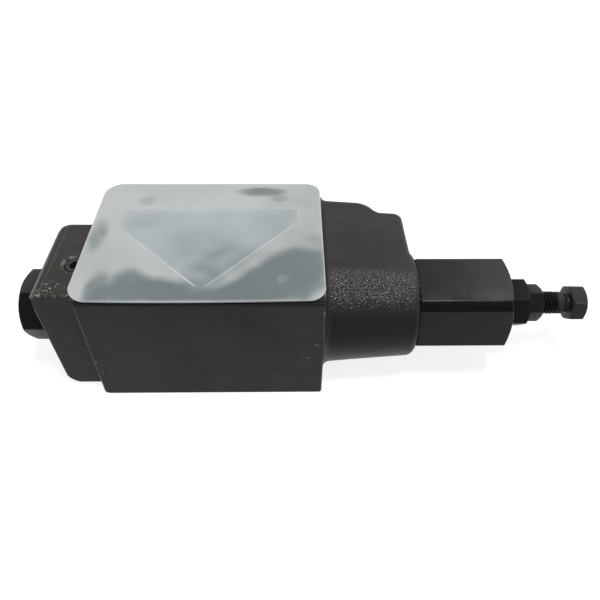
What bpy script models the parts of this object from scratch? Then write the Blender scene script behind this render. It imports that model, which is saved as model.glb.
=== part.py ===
# Hydraulic sandwich valve, size 10, with a spring adjuster in line with its spool.
# Metres, +Z up. The origin is the centre of the bolt pattern on the bottom face.
# +X runs along the spool towards the adjusting screw, and +Y to the back.
import math

import bmesh
import bpy
from mathutils import Matrix

MM = 0.001

# Gap between two pieces that touch or slide on each other
SEAT_GAP = 0.3 * MM

# Main block of the casting
BLOCK_LENGTH = 92.5 * MM
BLOCK_WIDTH = 70.0 * MM
BLOCK_HEIGHT = 55.0 * MM
BLOCK_CORNER = 1.6 * MM
BLOCK_EDGE = 0.6 * MM
PATTERN_TO_LEFT_FACE = 46.25 * MM

# Interface pattern on the top and bottom faces, with the ports placed from the first bolt
BOLT_SPACING_X = 54.0 * MM
BOLT_SPACING_Y = 46.0 * MM
BOLT_HOLE_RADIUS = 3.5 * MM
PORT_RADIUS = 5.25 * MM
PORT_MOUTH_DEPTH = 10.0 * MM
CHANNEL_RADIUS = 4.0 * MM
PORT_P = (27.0 * MM, 6.3 * MM)
PORT_A = (16.7 * MM, 21.4 * MM)
PORT_B = (37.3 * MM, 21.4 * MM)
PORT_T = (3.2 * MM, 32.5 * MM)
PORT_T1 = (50.8 * MM, 32.5 * MM)

# Face seals in the counterbores of the top face
FACE_SEAL_WIRE = 0.89 * MM
FACE_SEAL_RADIUS = 7.0 * MM
FACE_SEAL_PROUD = 0.2 * MM

# Spool bore and the galleries that the ports open into
BORE_FROM_FRONT = 26.5 * MM
BORE_RADIUS = 8.3 * MM
GALLERY_RADIUS = 11.5 * MM
GALLERY_LENGTH = 6.0 * MM
GALLERY_SPACING = 15.0 * MM
CHANNEL_DETOUR = 12.6 * MM

# End block of the casting, on the left, a little lower than the main block
END_BLOCK_LENGTH = 16.6 * MM
END_BLOCK_HALF_WIDTH = 21.4 * MM
END_BLOCK_DROP = 0.9 * MM
END_BLOCK_ROUND = 7.5 * MM
END_BLOCK_BACK_SHARE = 0.7
END_BLOCK_TOP_SHARE = 0.4
END_BLOCK_EDGE_SHARE = 0.15

# Spring barrel of the casting, on the right, a little lower too, with a boss at its end
BARREL_LENGTH = 36.0 * MM
BARREL_DROP = 2.7 * MM
BARREL_TAPER = 2.6 * MM
BARREL_ROOT_FILLET = 1.4 * MM
BOSS_LENGTH = 2.5 * MM
BOSS_FILLET = 3.0 * MM

# Wing of the casting behind the barrel; depths are from the spool's axis
WING_DEPTH = 41.7 * MM
WING_STEP_DEPTH = 35.2 * MM
WING_RUN = 9.1 * MM
WING_LAND = 10.9 * MM
WING_CORNER = 4.0 * MM
WING_FILLET = 2.5 * MM
WING_EDGE = 2.6 * MM

# End plug
PLUG_HEX = 26.5 * MM
PLUG_HEX_LENGTH = 13.6 * MM
PLUG_HEX_TURN = 34.5
PLUG_STEM_RADIUS = 10.0 * MM
PLUG_STEM_LENGTH = 7.5 * MM
PILOT_CHAMBER_RADIUS = 9.0 * MM

# Small screw plug over the pilot drilling, on top of the end block
PILOT_PLUG_RADIUS = 3.8 * MM
PILOT_PLUG_LENGTH = 6.0 * MM
PILOT_PLUG_SINK = 0.5 * MM
PILOT_PLUG_FROM_BLOCK = 4.7 * MM
PILOT_PLUG_FROM_AXIS = 3.7 * MM
PILOT_PLUG_SOCKET = 4.0 * MM
PILOT_PLUG_SOCKET_DEPTH = 3.0 * MM
PILOT_PLUG_CHAMFER = 0.7 * MM
PILOT_DRILL_RADIUS = 2.0 * MM

# Spool, sensing piston and spring guide
SPOOL_WAIST_RADIUS = 5.0 * MM
SPOOL_START = 1.0 * MM
SPOOL_CHAMFER = 0.6 * MM
BALANCE_GROOVE = 0.5 * MM
BALANCE_GROOVE_SPACING = 8.0 * MM
PISTON_RADIUS = 3.5 * MM
PISTON_LENGTH = 20.0 * MM
SENSING_HOLE_RADIUS = 1.2 * MM
GUIDE_RADIUS = 12.0 * MM
GUIDE_THICKNESS = 3.0 * MM
GUIDE_NOSE_LENGTH = 6.0 * MM
GUIDE_HOLE_RADIUS = 2.0 * MM

# Spring chamber, its drain into the tank port, and the spring
CHAMBER_START = 86.0 * MM
CHAMBER_RADIUS = 13.8 * MM
DRAIN_RADIUS = 2.0 * MM
SPRING_WIRE = 1.75 * MM
SPRING_RADIUS = 9.5 * MM
SPRING_TURNS = 9

# Spring housing, a hexagon sleeve screwed into the barrel
HOUSING_HEX = 36.0 * MM
HOUSING_HEX_LENGTH = 37.9 * MM
HOUSING_HEX_TURN = 18.2
HOUSING_STEM_RADIUS = 14.9 * MM
HOUSING_STEM_LENGTH = 18.0 * MM
HOUSING_BORE_RADIUS = 11.8 * MM
HOUSING_END_WALL = 8.0 * MM

# Plunger that the adjusting screw pushes against the spring
PLUNGER_LENGTH = 12.0 * MM
PLUNGER_NOSE_LENGTH = 6.0 * MM
PLUNGER_GROOVE_AT = 5.0 * MM
PLUNGER_RUN_OUT = 4.0 * MM
PLUNGER_CHAMFER = 0.6 * MM
DIMPLE_DEPTH = 2.0 * MM

# Gland nut, lock nut and adjusting screw
GLAND_HEX = 19.0 * MM
GLAND_HEX_LENGTH = 10.0 * MM
GLAND_HEX_TURN = 22.6
GLAND_STEM_RADIUS = 7.0 * MM
GLAND_STEM_LENGTH = 6.5 * MM
LOCK_NUT_HEX = 14.0 * MM
LOCK_NUT_HEIGHT = 6.4 * MM
LOCK_NUT_TURN = 45.2
SCREW_RADIUS = 4.9 * MM
SCREW_HEX = 14.0 * MM
SCREW_HEAD_HEIGHT = 6.4 * MM
SCREW_HEAD_TURN = 13.2
SCREW_FREE_LENGTH = 12.0 * MM
SCREW_UNDERCUT_LENGTH = 1.6 * MM
SCREW_UNDERCUT_DEPTH = 0.8 * MM
SCREW_TIP_RADIUS = 3.4 * MM
SCREW_TIP_LENGTH = 3.0 * MM
SCREW_TIP_CHAMFER = 0.6 * MM

# Seals under the screwed-in heads and on the plunger
SEAL_WIRE = 1.0 * MM
SMALL_SEAL_WIRE = 0.9 * MM
UNDERCUT_DEPTH = 1.0 * MM

# Loose cover plate over the top face
COVER_LENGTH = 95.7 * MM
COVER_WIDTH = 73.3 * MM
COVER_THICKNESS = 1.2 * MM
COVER_CORNER = 8.0 * MM
COVER_SHIFT_X = -1.1 * MM
COVER_SHIFT_Y = 1.25 * MM
COVER_EDGE = 0.3 * MM

# How many sides the round pieces have
BIG_SIDES = 36
MID_SIDES = 24
SMALL_SIDES = 18
SEAL_SIDES = 8

# How far a cutter runs on past the surface that it cuts
OVERRUN = 1.0 * MM

# Places that follow from the sizes above, in order along X
BLOCK_LEFT = -PATTERN_TO_LEFT_FACE
BLOCK_RIGHT = BLOCK_LEFT + BLOCK_LENGTH
BLOCK_MIDDLE_X = (BLOCK_LEFT + BLOCK_RIGHT) / 2
AXIS_Y = BORE_FROM_FRONT - BLOCK_WIDTH / 2
AXIS_Z = BLOCK_HEIGHT / 2
END_BLOCK_HALF_HEIGHT = AXIS_Z - END_BLOCK_DROP
BARREL_ROOT_RADIUS = AXIS_Z - BARREL_DROP
BARREL_END_RADIUS = BARREL_ROOT_RADIUS - BARREL_TAPER
END_FACE_X = BLOCK_LEFT - END_BLOCK_LENGTH
PLUG_X = END_FACE_X - SEAT_GAP
PISTON_X = PLUG_X + PLUG_STEM_LENGTH + SEAT_GAP
SPOOL_X = BLOCK_LEFT + SPOOL_START
PORT_P_X = PORT_P[0] - BOLT_SPACING_X / 2
GALLERY_X = (PORT_P_X - GALLERY_SPACING / 2, PORT_P_X + GALLERY_SPACING / 2)
SHOULDER_X = BLOCK_LEFT + CHAMBER_START
GUIDE_X = SHOULDER_X + SEAT_GAP
SPRING_X = GUIDE_X + GUIDE_THICKNESS + SEAT_GAP
WING_END_X = BLOCK_RIGHT + BARREL_LENGTH
BOSS_X = WING_END_X + BOSS_LENGTH
HOUSING_X = BOSS_X + SEAT_GAP
HOUSING_END_X = HOUSING_X + HOUSING_HEX_LENGTH
HOUSING_WALL_X = HOUSING_END_X - HOUSING_END_WALL
PLUNGER_END_X = HOUSING_WALL_X - PLUNGER_RUN_OUT
PLUNGER_X = PLUNGER_END_X - PLUNGER_LENGTH
SPRING_LENGTH = PLUNGER_X - SEAT_GAP - SPRING_X
GLAND_X = HOUSING_END_X + SEAT_GAP
LOCK_NUT_X = GLAND_X + GLAND_HEX_LENGTH + SEAT_GAP
SCREW_HEAD_X = LOCK_NUT_X + LOCK_NUT_HEIGHT + SCREW_FREE_LENGTH
SCREW_TIP_X = PLUNGER_END_X - DIMPLE_DEPTH + SEAT_GAP

# Sizes of the pieces that fit in others
SPOOL_RADIUS = BORE_RADIUS - SEAT_GAP
PISTON_BORE_RADIUS = PISTON_RADIUS + SEAT_GAP
PLUNGER_RADIUS = HOUSING_BORE_RADIUS - SEAT_GAP
NOSE_RADIUS = SPRING_RADIUS - SPRING_WIRE - SEAT_GAP
SCREW_HOLE_RADIUS = SCREW_RADIUS + SEAT_GAP
COUNTERBORE_RADIUS = FACE_SEAL_RADIUS + FACE_SEAL_WIRE + SEAT_GAP
COUNTERBORE_DEPTH = 2 * FACE_SEAL_WIRE + SEAT_GAP - FACE_SEAL_PROUD
COVER_BOTTOM = BLOCK_HEIGHT + FACE_SEAL_PROUD + SEAT_GAP

for leftover in list(bpy.data.objects):
    bpy.data.objects.remove(leftover, do_unlink=True)

VALVE = bpy.data.collections.new("sandwich_valve")
CUTTERS = bpy.data.collections.new("cutters")
bpy.context.scene.collection.children.link(VALVE)
bpy.context.scene.collection.children.link(CUTTERS)
CAST_FORMS = bpy.data.collections.new("cast_forms")
BODY_HOLES = bpy.data.collections.new("body_holes")
CUTTERS.children.link(CAST_FORMS)
CUTTERS.children.link(BODY_HOLES)


def make_material(name, color, metallic, roughness, alpha=1.0):
    material = bpy.data.materials.new(name)
    material.use_nodes = True
    shader = material.node_tree.nodes["Principled BSDF"]
    shader.inputs["Base Color"].default_value = (*color, 1.0)
    shader.inputs["Metallic"].default_value = metallic
    shader.inputs["Roughness"].default_value = roughness
    shader.inputs["Alpha"].default_value = alpha
    return material


PAINTED_IRON = make_material("painted_iron", (0.045, 0.043, 0.038), 0.0, 0.5)
BLACK_STEEL = make_material("black_steel", (0.03, 0.03, 0.03), 0.7, 0.35)
BRIGHT_STEEL = make_material("bright_steel", (0.55, 0.55, 0.56), 1.0, 0.25)
SPRING_STEEL = make_material("spring_steel", (0.25, 0.25, 0.27), 1.0, 0.35)
SEAL_RUBBER = make_material("seal_rubber", (0.02, 0.02, 0.02), 0.0, 0.6)
MILKY_PLASTIC = make_material("milky_plastic", (0.55, 0.6, 0.62), 0.0, 0.35, 0.85)


def add_object(name, mesh, material=None):
    """A piece of the valve where it has a material, and otherwise a cutter."""
    made = bpy.data.objects.new(name, mesh)
    if material:
        VALVE.objects.link(made)
        mesh.materials.append(material)
    else:
        CUTTERS.objects.link(made)
        made.hide_render = True
        made.display_type = "WIRE"
    return made


def mesh_from(shape, name):
    """Puts a bmesh into a new mesh and frees it."""
    mesh = bpy.data.meshes.new(name)
    shape.to_mesh(mesh)
    shape.free()
    return mesh


def shade(made):
    """Smooth shading up to the sharp edges of a turned or hexagonal piece."""
    made.data.shade_smooth()
    made.data.set_sharp_from_angle(angle=math.radians(30.0))


def arc(center, radius, start, end, steps):
    """Points on an arc between two angles in degrees, as (first + cosine, second + sine)."""
    angles = [math.radians(start + (end - start) * i / steps) for i in range(steps + 1)]
    return [(center[0] + radius * math.cos(a), center[1] + radius * math.sin(a)) for a in angles]


def turned(name, profile, sides, material=None):
    """Turns a profile of (height, radius) points about Z. It runs from its top down the outside."""
    shape = bmesh.new()
    points = [shape.verts.new((radius, 0.0, height)) for height, radius in profile]
    for first, second in zip(points, points[1:]):
        shape.edges.new((first, second))
    if profile[0][1] > 0.0:
        shape.edges.new((points[-1], points[0]))
    made = add_object(name, mesh_from(shape, name), material)
    screw = made.modifiers.new("turn", "SCREW")
    screw.axis = "Z"
    screw.steps = sides
    screw.render_steps = sides
    screw.use_merge_vertices = True
    screw.merge_threshold = 0.00001
    return made


def add_cylinder(shape, radius, bottom, top, sides, center=(0.0, 0.0)):
    """Adds an upright cylinder between two heights to a bmesh."""
    place = Matrix.Translation((center[0], center[1], (bottom + top) / 2))
    bmesh.ops.create_cone(
        shape,
        cap_ends=True,
        segments=sides,
        radius1=radius,
        radius2=radius,
        depth=top - bottom,
        matrix=place,
    )


def hexagon(name, across_flats, bottom, top, corner_angle, material=None):
    """A hexagonal prism along Z with a corner at this angle from its own X axis."""
    shape = bmesh.new()
    add_cylinder(shape, across_flats / math.sqrt(3), bottom, top, 6)
    spin = Matrix.Rotation(math.radians(corner_angle - 30.0), 4, "Z")
    bmesh.ops.transform(shape, matrix=spin, verts=shape.verts)
    return add_object(name, mesh_from(shape, name), material)


def boolean(made, other, operation, follow=False):
    """Adds a Boolean modifier. A cutter that follows is given in the piece's own frame."""
    if follow:
        other.parent = made
    step = made.modifiers.new(other.name, "BOOLEAN")
    step.operation = operation
    step.object = other
    step.solver = "EXACT"


def boolean_group(made, group, others, operation):
    """Moves these objects into a collection and adds one Boolean modifier for all of it."""
    for other in others:
        CUTTERS.objects.unlink(other)
        group.objects.link(other)
    step = made.modifiers.new(group.name, "BOOLEAN")
    step.operation = operation
    step.operand_type = "COLLECTION"
    step.collection = group
    step.solver = "EXACT"


def mesh_of_curve(curve, name, material=None):
    """Makes a curve into a mesh with its caps welded."""
    drawn = bpy.data.objects.new(name + "_curve", curve)
    bpy.context.scene.collection.objects.link(drawn)
    graph = bpy.context.evaluated_depsgraph_get()
    graph.update()
    mesh = bpy.data.meshes.new_from_object(drawn.evaluated_get(graph))
    shape = bmesh.new()
    shape.from_mesh(mesh)
    bmesh.ops.remove_doubles(shape, verts=shape.verts, dist=0.000001)
    bmesh.ops.recalc_face_normals(shape, faces=shape.faces)
    bpy.data.objects.remove(drawn)
    bpy.data.meshes.remove(mesh)
    return add_object(name, mesh_from(shape, name), material)


def plate(name, outline, bottom, top, material=None):
    """A flat outline of (x, y) points, extruded between two heights."""
    curve = bpy.data.curves.new(name, "CURVE")
    curve.dimensions = "2D"
    curve.fill_mode = "BOTH"
    curve.extrude = (top - bottom) / 2
    spline = curve.splines.new("POLY")
    spline.points.add(len(outline) - 1)
    for point, (x, y) in zip(spline.points, outline):
        point.co = (x, y, 0.0, 1.0)
    spline.use_cyclic_u = True
    made = mesh_of_curve(curve, name, material)
    made.data.transform(Matrix.Translation((0.0, 0.0, (bottom + top) / 2)))
    return made


def tubes(name, routes, radius, material=None):
    """Round tubes along straight runs. A route is a list of places and the tube's radius on it."""
    curve = bpy.data.curves.new(name, "CURVE")
    curve.dimensions = "3D"
    curve.bevel_depth = radius
    curve.bevel_resolution = 2
    curve.use_fill_caps = True
    for places, route_radius in routes:
        spline = curve.splines.new("POLY")
        spline.points.add(len(places) - 1)
        for point, place in zip(spline.points, places):
            point.co = (*place, 1.0)
            point.radius = route_radius / radius
    return mesh_of_curve(curve, name, material)


def rounded_rectangle(left, right, front, back, corner, steps):
    """Outline points of a rectangle with round corners, anticlockwise."""
    outline = arc((right - corner, back - corner), corner, 0.0, 90.0, steps)
    outline += arc((left + corner, back - corner), corner, 90.0, 180.0, steps)
    outline += arc((left + corner, front + corner), corner, 180.0, 270.0, steps)
    outline += arc((right - corner, front + corner), corner, 270.0, 360.0, steps)
    return outline


def bevel(made, width, segments):
    """Rounds the edges between faces that meet at 60 degrees or more."""
    step = made.modifiers.new("edges", "BEVEL")
    step.width = width
    step.segments = segments
    step.limit_method = "ANGLE"
    step.angle_limit = math.radians(60.0)


def on_spool_axis(made, x, outward=1):
    """Puts a piece's origin on the spool's axis and turns its Z axis along +X or, outward -1, -X."""
    made.rotation_euler = (0.0, outward * math.pi / 2, 0.0)
    made.location = (x, AXIS_Y, AXIS_Z)
    return made


def seal_ring(name, radius, wire, sides):
    """A seal ring about Z, with its middle at height 0."""
    section = arc((0.0, radius), wire, 0.0, 360.0, SEAL_SIDES)[:-1]
    made = turned(name, section, sides, SEAL_RUBBER)
    made.modifiers["turn"].use_smooth_shade = True
    return made


def head_seal_seat(stem_radius, wire):
    """Radii and depth of the seat that a ring has between a screwed-in head, its stem and the bore's mouth."""
    undercut = stem_radius - UNDERCUT_DEPTH
    ring = undercut + SEAT_GAP + wire
    mouth = ring + wire + SEAT_GAP
    depth = 2 * wire + SEAT_GAP
    return undercut, ring, mouth, depth


def stem_profile(radius, length, wire, inside):
    """A stem below height 0 with an undercut for its seal, running on up into its head by inside."""
    undercut, _, _, depth = head_seal_seat(radius, wire)
    relief = depth + 2 * SEAT_GAP
    return [
        (inside, 0.0),
        (inside, undercut),
        (-relief, undercut),
        (-relief, radius),
        (-length + SPOOL_CHAMFER, radius),
        (-length, radius - SPOOL_CHAMFER),
        (-length, 0.0),
    ]


def chamfered_hexagon(name, across_flats, length, corner_angle, chamfered):
    """A hexagon from height 0 to its length, with 30 degree chamfers at the ends that are said."""
    made = hexagon(name, across_flats, 0.0, length, corner_angle, BLACK_STEEL)
    corner = across_flats / math.sqrt(3)
    flat = 0.97 * across_flats / 2
    drop = (corner - flat) / math.sqrt(3)
    inner = flat - OVERRUN * math.sqrt(3)
    outer = corner + OVERRUN * math.sqrt(3)
    top = length + OVERRUN
    profile = [(top, 0.0)]
    profile += [(top, inner), (length - drop - OVERRUN, outer)] if chamfered[1] else [(top, outer)]
    profile += [(drop + OVERRUN, outer), (-OVERRUN, inner)] if chamfered[0] else [(-OVERRUN, outer)]
    profile += [(-OVERRUN, 0.0)]
    boolean(made, turned(name + "_chamfers", profile, BIG_SIDES), "INTERSECT", follow=True)
    return made


def port_center(port):
    """A port's place, from its place on the pattern that starts at the first bolt."""
    return port[0] - BOLT_SPACING_X / 2, port[1] - BOLT_SPACING_Y / 2


PORTS = {
    "p": port_center(PORT_P),
    "a": port_center(PORT_A),
    "b": port_center(PORT_B),
    "t": port_center(PORT_T),
    "t1": port_center(PORT_T1),
}


def end_block():
    """The cast end block. Its bottom corner is the roundest, then its back corner and its top edge."""
    shape = bmesh.new()
    bmesh.ops.create_cube(shape, size=1.0)
    length = END_BLOCK_LENGTH + 2 * OVERRUN
    size = Matrix.Diagonal((length, 2 * END_BLOCK_HALF_WIDTH, 2 * END_BLOCK_HALF_HEIGHT, 1.0))
    place = Matrix.Translation((END_FACE_X + length / 2, AXIS_Y, AXIS_Z))
    bmesh.ops.transform(shape, matrix=place @ size, verts=shape.verts)
    made = add_object("end_block", mesh_from(shape, "end_block"))
    weights = made.data.attributes.new("bevel_weight_edge", "FLOAT", "EDGE")
    for edge in made.data.edges:
        first, second = (made.data.vertices[i].co for i in edge.vertices)
        middle = (first + second) / 2
        share = END_BLOCK_EDGE_SHARE
        if abs(middle.x - END_FACE_X) < OVERRUN and middle.z < AXIS_Z - END_BLOCK_HALF_HEIGHT / 2:
            share = 1.0
        if abs(middle.x - END_FACE_X) < OVERRUN and middle.y > AXIS_Y + END_BLOCK_HALF_WIDTH / 2:
            share = END_BLOCK_BACK_SHARE
        if abs(middle.x - END_FACE_X) < OVERRUN and middle.z > AXIS_Z + END_BLOCK_HALF_HEIGHT / 2:
            share = END_BLOCK_TOP_SHARE
        weights.data[edge.index].value = share
    rounding = made.modifiers.new("edges", "BEVEL")
    rounding.width = END_BLOCK_ROUND
    rounding.segments = 4
    rounding.limit_method = "WEIGHT"
    return made


def barrel():
    """The cast barrel round the spring chamber, a tapered turned form with a boss at its end."""
    start = -2 * OVERRUN
    end = BARREL_LENGTH + BOSS_LENGTH
    root = BARREL_ROOT_RADIUS + BARREL_ROOT_FILLET
    profile = [(end, 0.0)]
    boss = arc((end - BOSS_FILLET, BARREL_END_RADIUS - BOSS_FILLET), BOSS_FILLET, 0.0, 90.0, 4)
    profile += boss
    profile += arc((BARREL_ROOT_FILLET, root), BARREL_ROOT_FILLET, 270.0, 180.0, 3)
    profile += [(start, root), (start, 0.0)]
    return on_spool_axis(turned("barrel", profile, BIG_SIDES), BLOCK_RIGHT)


def wing():
    """The cast wing behind the barrel. Its top and bottom lean in with the barrel's taper."""
    back = AXIS_Y + WING_DEPTH
    step_back = AXIS_Y + WING_STEP_DEPTH
    straight_x = WING_END_X - WING_LAND - WING_RUN
    fall = WING_DEPTH - WING_STEP_DEPTH
    sweep = (WING_RUN * WING_RUN + fall * fall) / (2 * fall)
    sweep_end = math.degrees(math.atan2(sweep - fall, WING_RUN))
    left = BLOCK_RIGHT - 2 * OVERRUN
    outline = [(left, AXIS_Y), (WING_END_X, AXIS_Y)]
    outline += arc((WING_END_X - WING_CORNER, step_back - WING_CORNER), WING_CORNER, 0.0, 90.0, 4)
    outline += arc((straight_x, back - sweep), sweep, sweep_end, 90.0, 6)
    outline += arc((BLOCK_RIGHT + WING_FILLET, back + WING_FILLET), WING_FILLET, 270.0, 180.0, 3)
    outline += [(left, back + WING_FILLET)]
    made = plate("wing", outline, AXIS_Z - BARREL_ROOT_RADIUS, AXIS_Z + BARREL_ROOT_RADIUS)
    taper = (BARREL_ROOT_RADIUS - BARREL_END_RADIUS) / BARREL_LENGTH / BARREL_ROOT_RADIUS
    for vertex in made.data.vertices:
        lean = 1.0 - taper * (vertex.co.x - BLOCK_RIGHT)
        vertex.co.z = AXIS_Z + (vertex.co.z - AXIS_Z) * lean
    bevel(made, WING_EDGE, 3)
    return made


def long_bore():
    """Everything that is bored along the spool's axis, from the boss back to the end face."""
    _, _, housing_mouth, housing_depth = head_seal_seat(HOUSING_STEM_RADIUS, SEAL_WIRE)
    _, _, plug_mouth, plug_depth = head_seal_seat(PLUG_STEM_RADIUS, SEAL_WIRE)
    thread_end = HOUSING_X - HOUSING_STEM_LENGTH - OVERRUN
    plug_end = PLUG_X + PLUG_STEM_LENGTH + SEAT_GAP
    profile = [
        (BOSS_X + OVERRUN, 0.0),
        (BOSS_X + OVERRUN, housing_mouth),
        (BOSS_X - housing_depth, housing_mouth),
        (BOSS_X - housing_depth, HOUSING_STEM_RADIUS + SEAT_GAP),
        (thread_end, HOUSING_STEM_RADIUS + SEAT_GAP),
        (thread_end, CHAMBER_RADIUS),
        (SHOULDER_X, CHAMBER_RADIUS),
        (SHOULDER_X, BORE_RADIUS),
    ]
    for gallery in reversed(GALLERY_X):
        profile += [
            (gallery + GALLERY_LENGTH / 2, BORE_RADIUS),
            (gallery + GALLERY_LENGTH / 2, GALLERY_RADIUS),
            (gallery - GALLERY_LENGTH / 2, GALLERY_RADIUS),
            (gallery - GALLERY_LENGTH / 2, BORE_RADIUS),
        ]
    profile += [
        (SPOOL_X, BORE_RADIUS),
        (SPOOL_X - SPOOL_CHAMFER, PILOT_CHAMBER_RADIUS),
        (plug_end, PILOT_CHAMBER_RADIUS),
        (plug_end, PLUG_STEM_RADIUS + SEAT_GAP),
        (END_FACE_X + plug_depth, PLUG_STEM_RADIUS + SEAT_GAP),
        (END_FACE_X + plug_depth, plug_mouth),
        (END_FACE_X - OVERRUN, plug_mouth),
        (END_FACE_X - OVERRUN, 0.0),
    ]
    return on_spool_axis(turned("long_bore", profile, MID_SIDES), 0.0)


def upright_holes(name, places, radius, spans, sides):
    """One cutter of upright cylinders at these places, one for each span of heights."""
    shape = bmesh.new()
    for center in places:
        for bottom, top in spans:
            add_cylinder(shape, radius, bottom, top, sides, center)
    return add_object(name, mesh_from(shape, name))


def port_channels():
    """Cast channels. A and B pass behind the bore, and P reaches the bore's two galleries."""
    start = PORT_MOUTH_DEPTH - 2 * OVERRUN
    neck = PORT_MOUTH_DEPTH + OVERRUN
    bend = neck + CHANNEL_DETOUR / 2
    routes = []
    for port in ("a", "b"):
        x, y = PORTS[port]
        back = y + CHANNEL_DETOUR
        places = [(x, y, start), (x, y, neck), (x, back, bend)]
        places += [(x, y, BLOCK_HEIGHT - z) for x, y, z in reversed(places)]
        routes.append((places, CHANNEL_RADIUS))
    x, y = PORTS["p"]
    reach = GALLERY_RADIUS / 2
    low = [(x, y, start), (x, y, neck), (GALLERY_X[0], AXIS_Y - reach, AXIS_Z - reach)]
    high = [(x, y, start), (x, y, neck), (GALLERY_X[1], AXIS_Y - reach, AXIS_Z - reach)]
    routes.append((low, CHANNEL_RADIUS))
    routes.append(([(x, y, BLOCK_HEIGHT - z) for x, y, z in high], CHANNEL_RADIUS))
    tank_x, tank_y = PORTS["t1"]
    chamber = (SHOULDER_X + 2 * CHANNEL_RADIUS, AXIS_Y + CHAMBER_RADIUS / 2, AXIS_Z)
    routes.append(([(tank_x, tank_y, AXIS_Z), chamber], DRAIN_RADIUS))
    return tubes("port_channels", routes, CHANNEL_RADIUS)


def pilot_plug_place():
    """Where the small screw plug's top lies, on top of the end block."""
    top = AXIS_Z + END_BLOCK_HALF_HEIGHT - PILOT_PLUG_SINK
    return BLOCK_LEFT - PILOT_PLUG_FROM_BLOCK, AXIS_Y - PILOT_PLUG_FROM_AXIS, top


def pilot_drilling():
    """The threaded hole for the small screw plug and the drilling below it, down to the pilot chamber."""
    mouth = PILOT_PLUG_RADIUS + SEAT_GAP
    surface = PILOT_PLUG_SINK
    floor = -PILOT_PLUG_LENGTH - SEAT_GAP
    chamber = -END_BLOCK_HALF_HEIGHT + PILOT_PLUG_SINK
    profile = [
        (surface + OVERRUN, 0.0),
        (surface + OVERRUN, mouth + PILOT_PLUG_CHAMFER + OVERRUN),
        (surface - PILOT_PLUG_CHAMFER, mouth),
        (floor, mouth),
        (floor, PILOT_DRILL_RADIUS),
        (chamber, PILOT_DRILL_RADIUS),
        (chamber, 0.0),
    ]
    made = turned("pilot_drilling", profile, SMALL_SIDES)
    made.location = pilot_plug_place()
    return made


def valve_body():
    outline = rounded_rectangle(
        BLOCK_LEFT, BLOCK_RIGHT, -BLOCK_WIDTH / 2, BLOCK_WIDTH / 2, BLOCK_CORNER, 3
    )
    body = plate("valve_body", outline, 0.0, BLOCK_HEIGHT, PAINTED_IRON)
    bevel(body, BLOCK_EDGE, 1)
    boolean_group(body, CAST_FORMS, [end_block(), barrel(), wing()], "UNION")
    bolts = [
        (side_x * BOLT_SPACING_X / 2, side_y * BOLT_SPACING_Y / 2)
        for side_x in (-1, 1)
        for side_y in (-1, 1)
    ]
    through = [(-OVERRUN, BLOCK_HEIGHT + OVERRUN)]
    blind = [
        (-OVERRUN, PORT_MOUTH_DEPTH),
        (BLOCK_HEIGHT - PORT_MOUTH_DEPTH, BLOCK_HEIGHT + OVERRUN),
    ]
    seats = [(BLOCK_HEIGHT - COUNTERBORE_DEPTH, BLOCK_HEIGHT + OVERRUN)]
    lines = [PORTS[port] for port in ("p", "a", "b")]
    tanks = [PORTS[port] for port in ("t", "t1")]
    cutters = [
        long_bore(),
        upright_holes("bolt_holes", bolts, BOLT_HOLE_RADIUS, through, SMALL_SIDES),
        upright_holes("line_mouths", lines, PORT_RADIUS, blind, SMALL_SIDES),
        upright_holes("tank_ports", tanks, PORT_RADIUS, through, SMALL_SIDES),
        upright_holes("seal_seats", PORTS.values(), COUNTERBORE_RADIUS, seats, MID_SIDES),
        port_channels(),
        pilot_drilling(),
    ]
    boolean_group(body, BODY_HOLES, cutters, "DIFFERENCE")


def face_seals():
    height = BLOCK_HEIGHT + FACE_SEAL_PROUD - FACE_SEAL_WIRE
    for port, (x, y) in PORTS.items():
        ring = seal_ring("face_seal_" + port, FACE_SEAL_RADIUS, FACE_SEAL_WIRE, MID_SIDES)
        ring.location = (x, y, height)


def head_seal(name, stem_radius, wire, x, outward):
    """The ring under a screwed-in head, in the mouth of the bore that opens at x."""
    _, ring, _, _ = head_seal_seat(stem_radius, wire)
    made = seal_ring(name, ring, wire, MID_SIDES)
    on_spool_axis(made, x - outward * wire, outward)


def port_cover():
    front = -BLOCK_WIDTH / 2 + (BLOCK_WIDTH - COVER_WIDTH) / 2 + COVER_SHIFT_Y
    left = BLOCK_MIDDLE_X - COVER_LENGTH / 2 + COVER_SHIFT_X
    outline = rounded_rectangle(
        left, left + COVER_LENGTH, front, front + COVER_WIDTH, COVER_CORNER, 6
    )
    cover = plate("port_cover", outline, COVER_BOTTOM, COVER_BOTTOM + COVER_THICKNESS, MILKY_PLASTIC)
    bevel(cover, COVER_EDGE, 2)


def end_plug():
    plug = chamfered_hexagon("end_plug", PLUG_HEX, PLUG_HEX_LENGTH, PLUG_HEX_TURN, (False, True))
    stem = stem_profile(PLUG_STEM_RADIUS, PLUG_STEM_LENGTH, SEAL_WIRE, PLUG_HEX_LENGTH / 2)
    boolean(plug, turned("end_plug_stem", stem, MID_SIDES), "UNION", follow=True)
    on_spool_axis(plug, PLUG_X, -1)
    shade(plug)
    head_seal("end_plug_seal", PLUG_STEM_RADIUS, SEAL_WIRE, END_FACE_X, -1)


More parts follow.
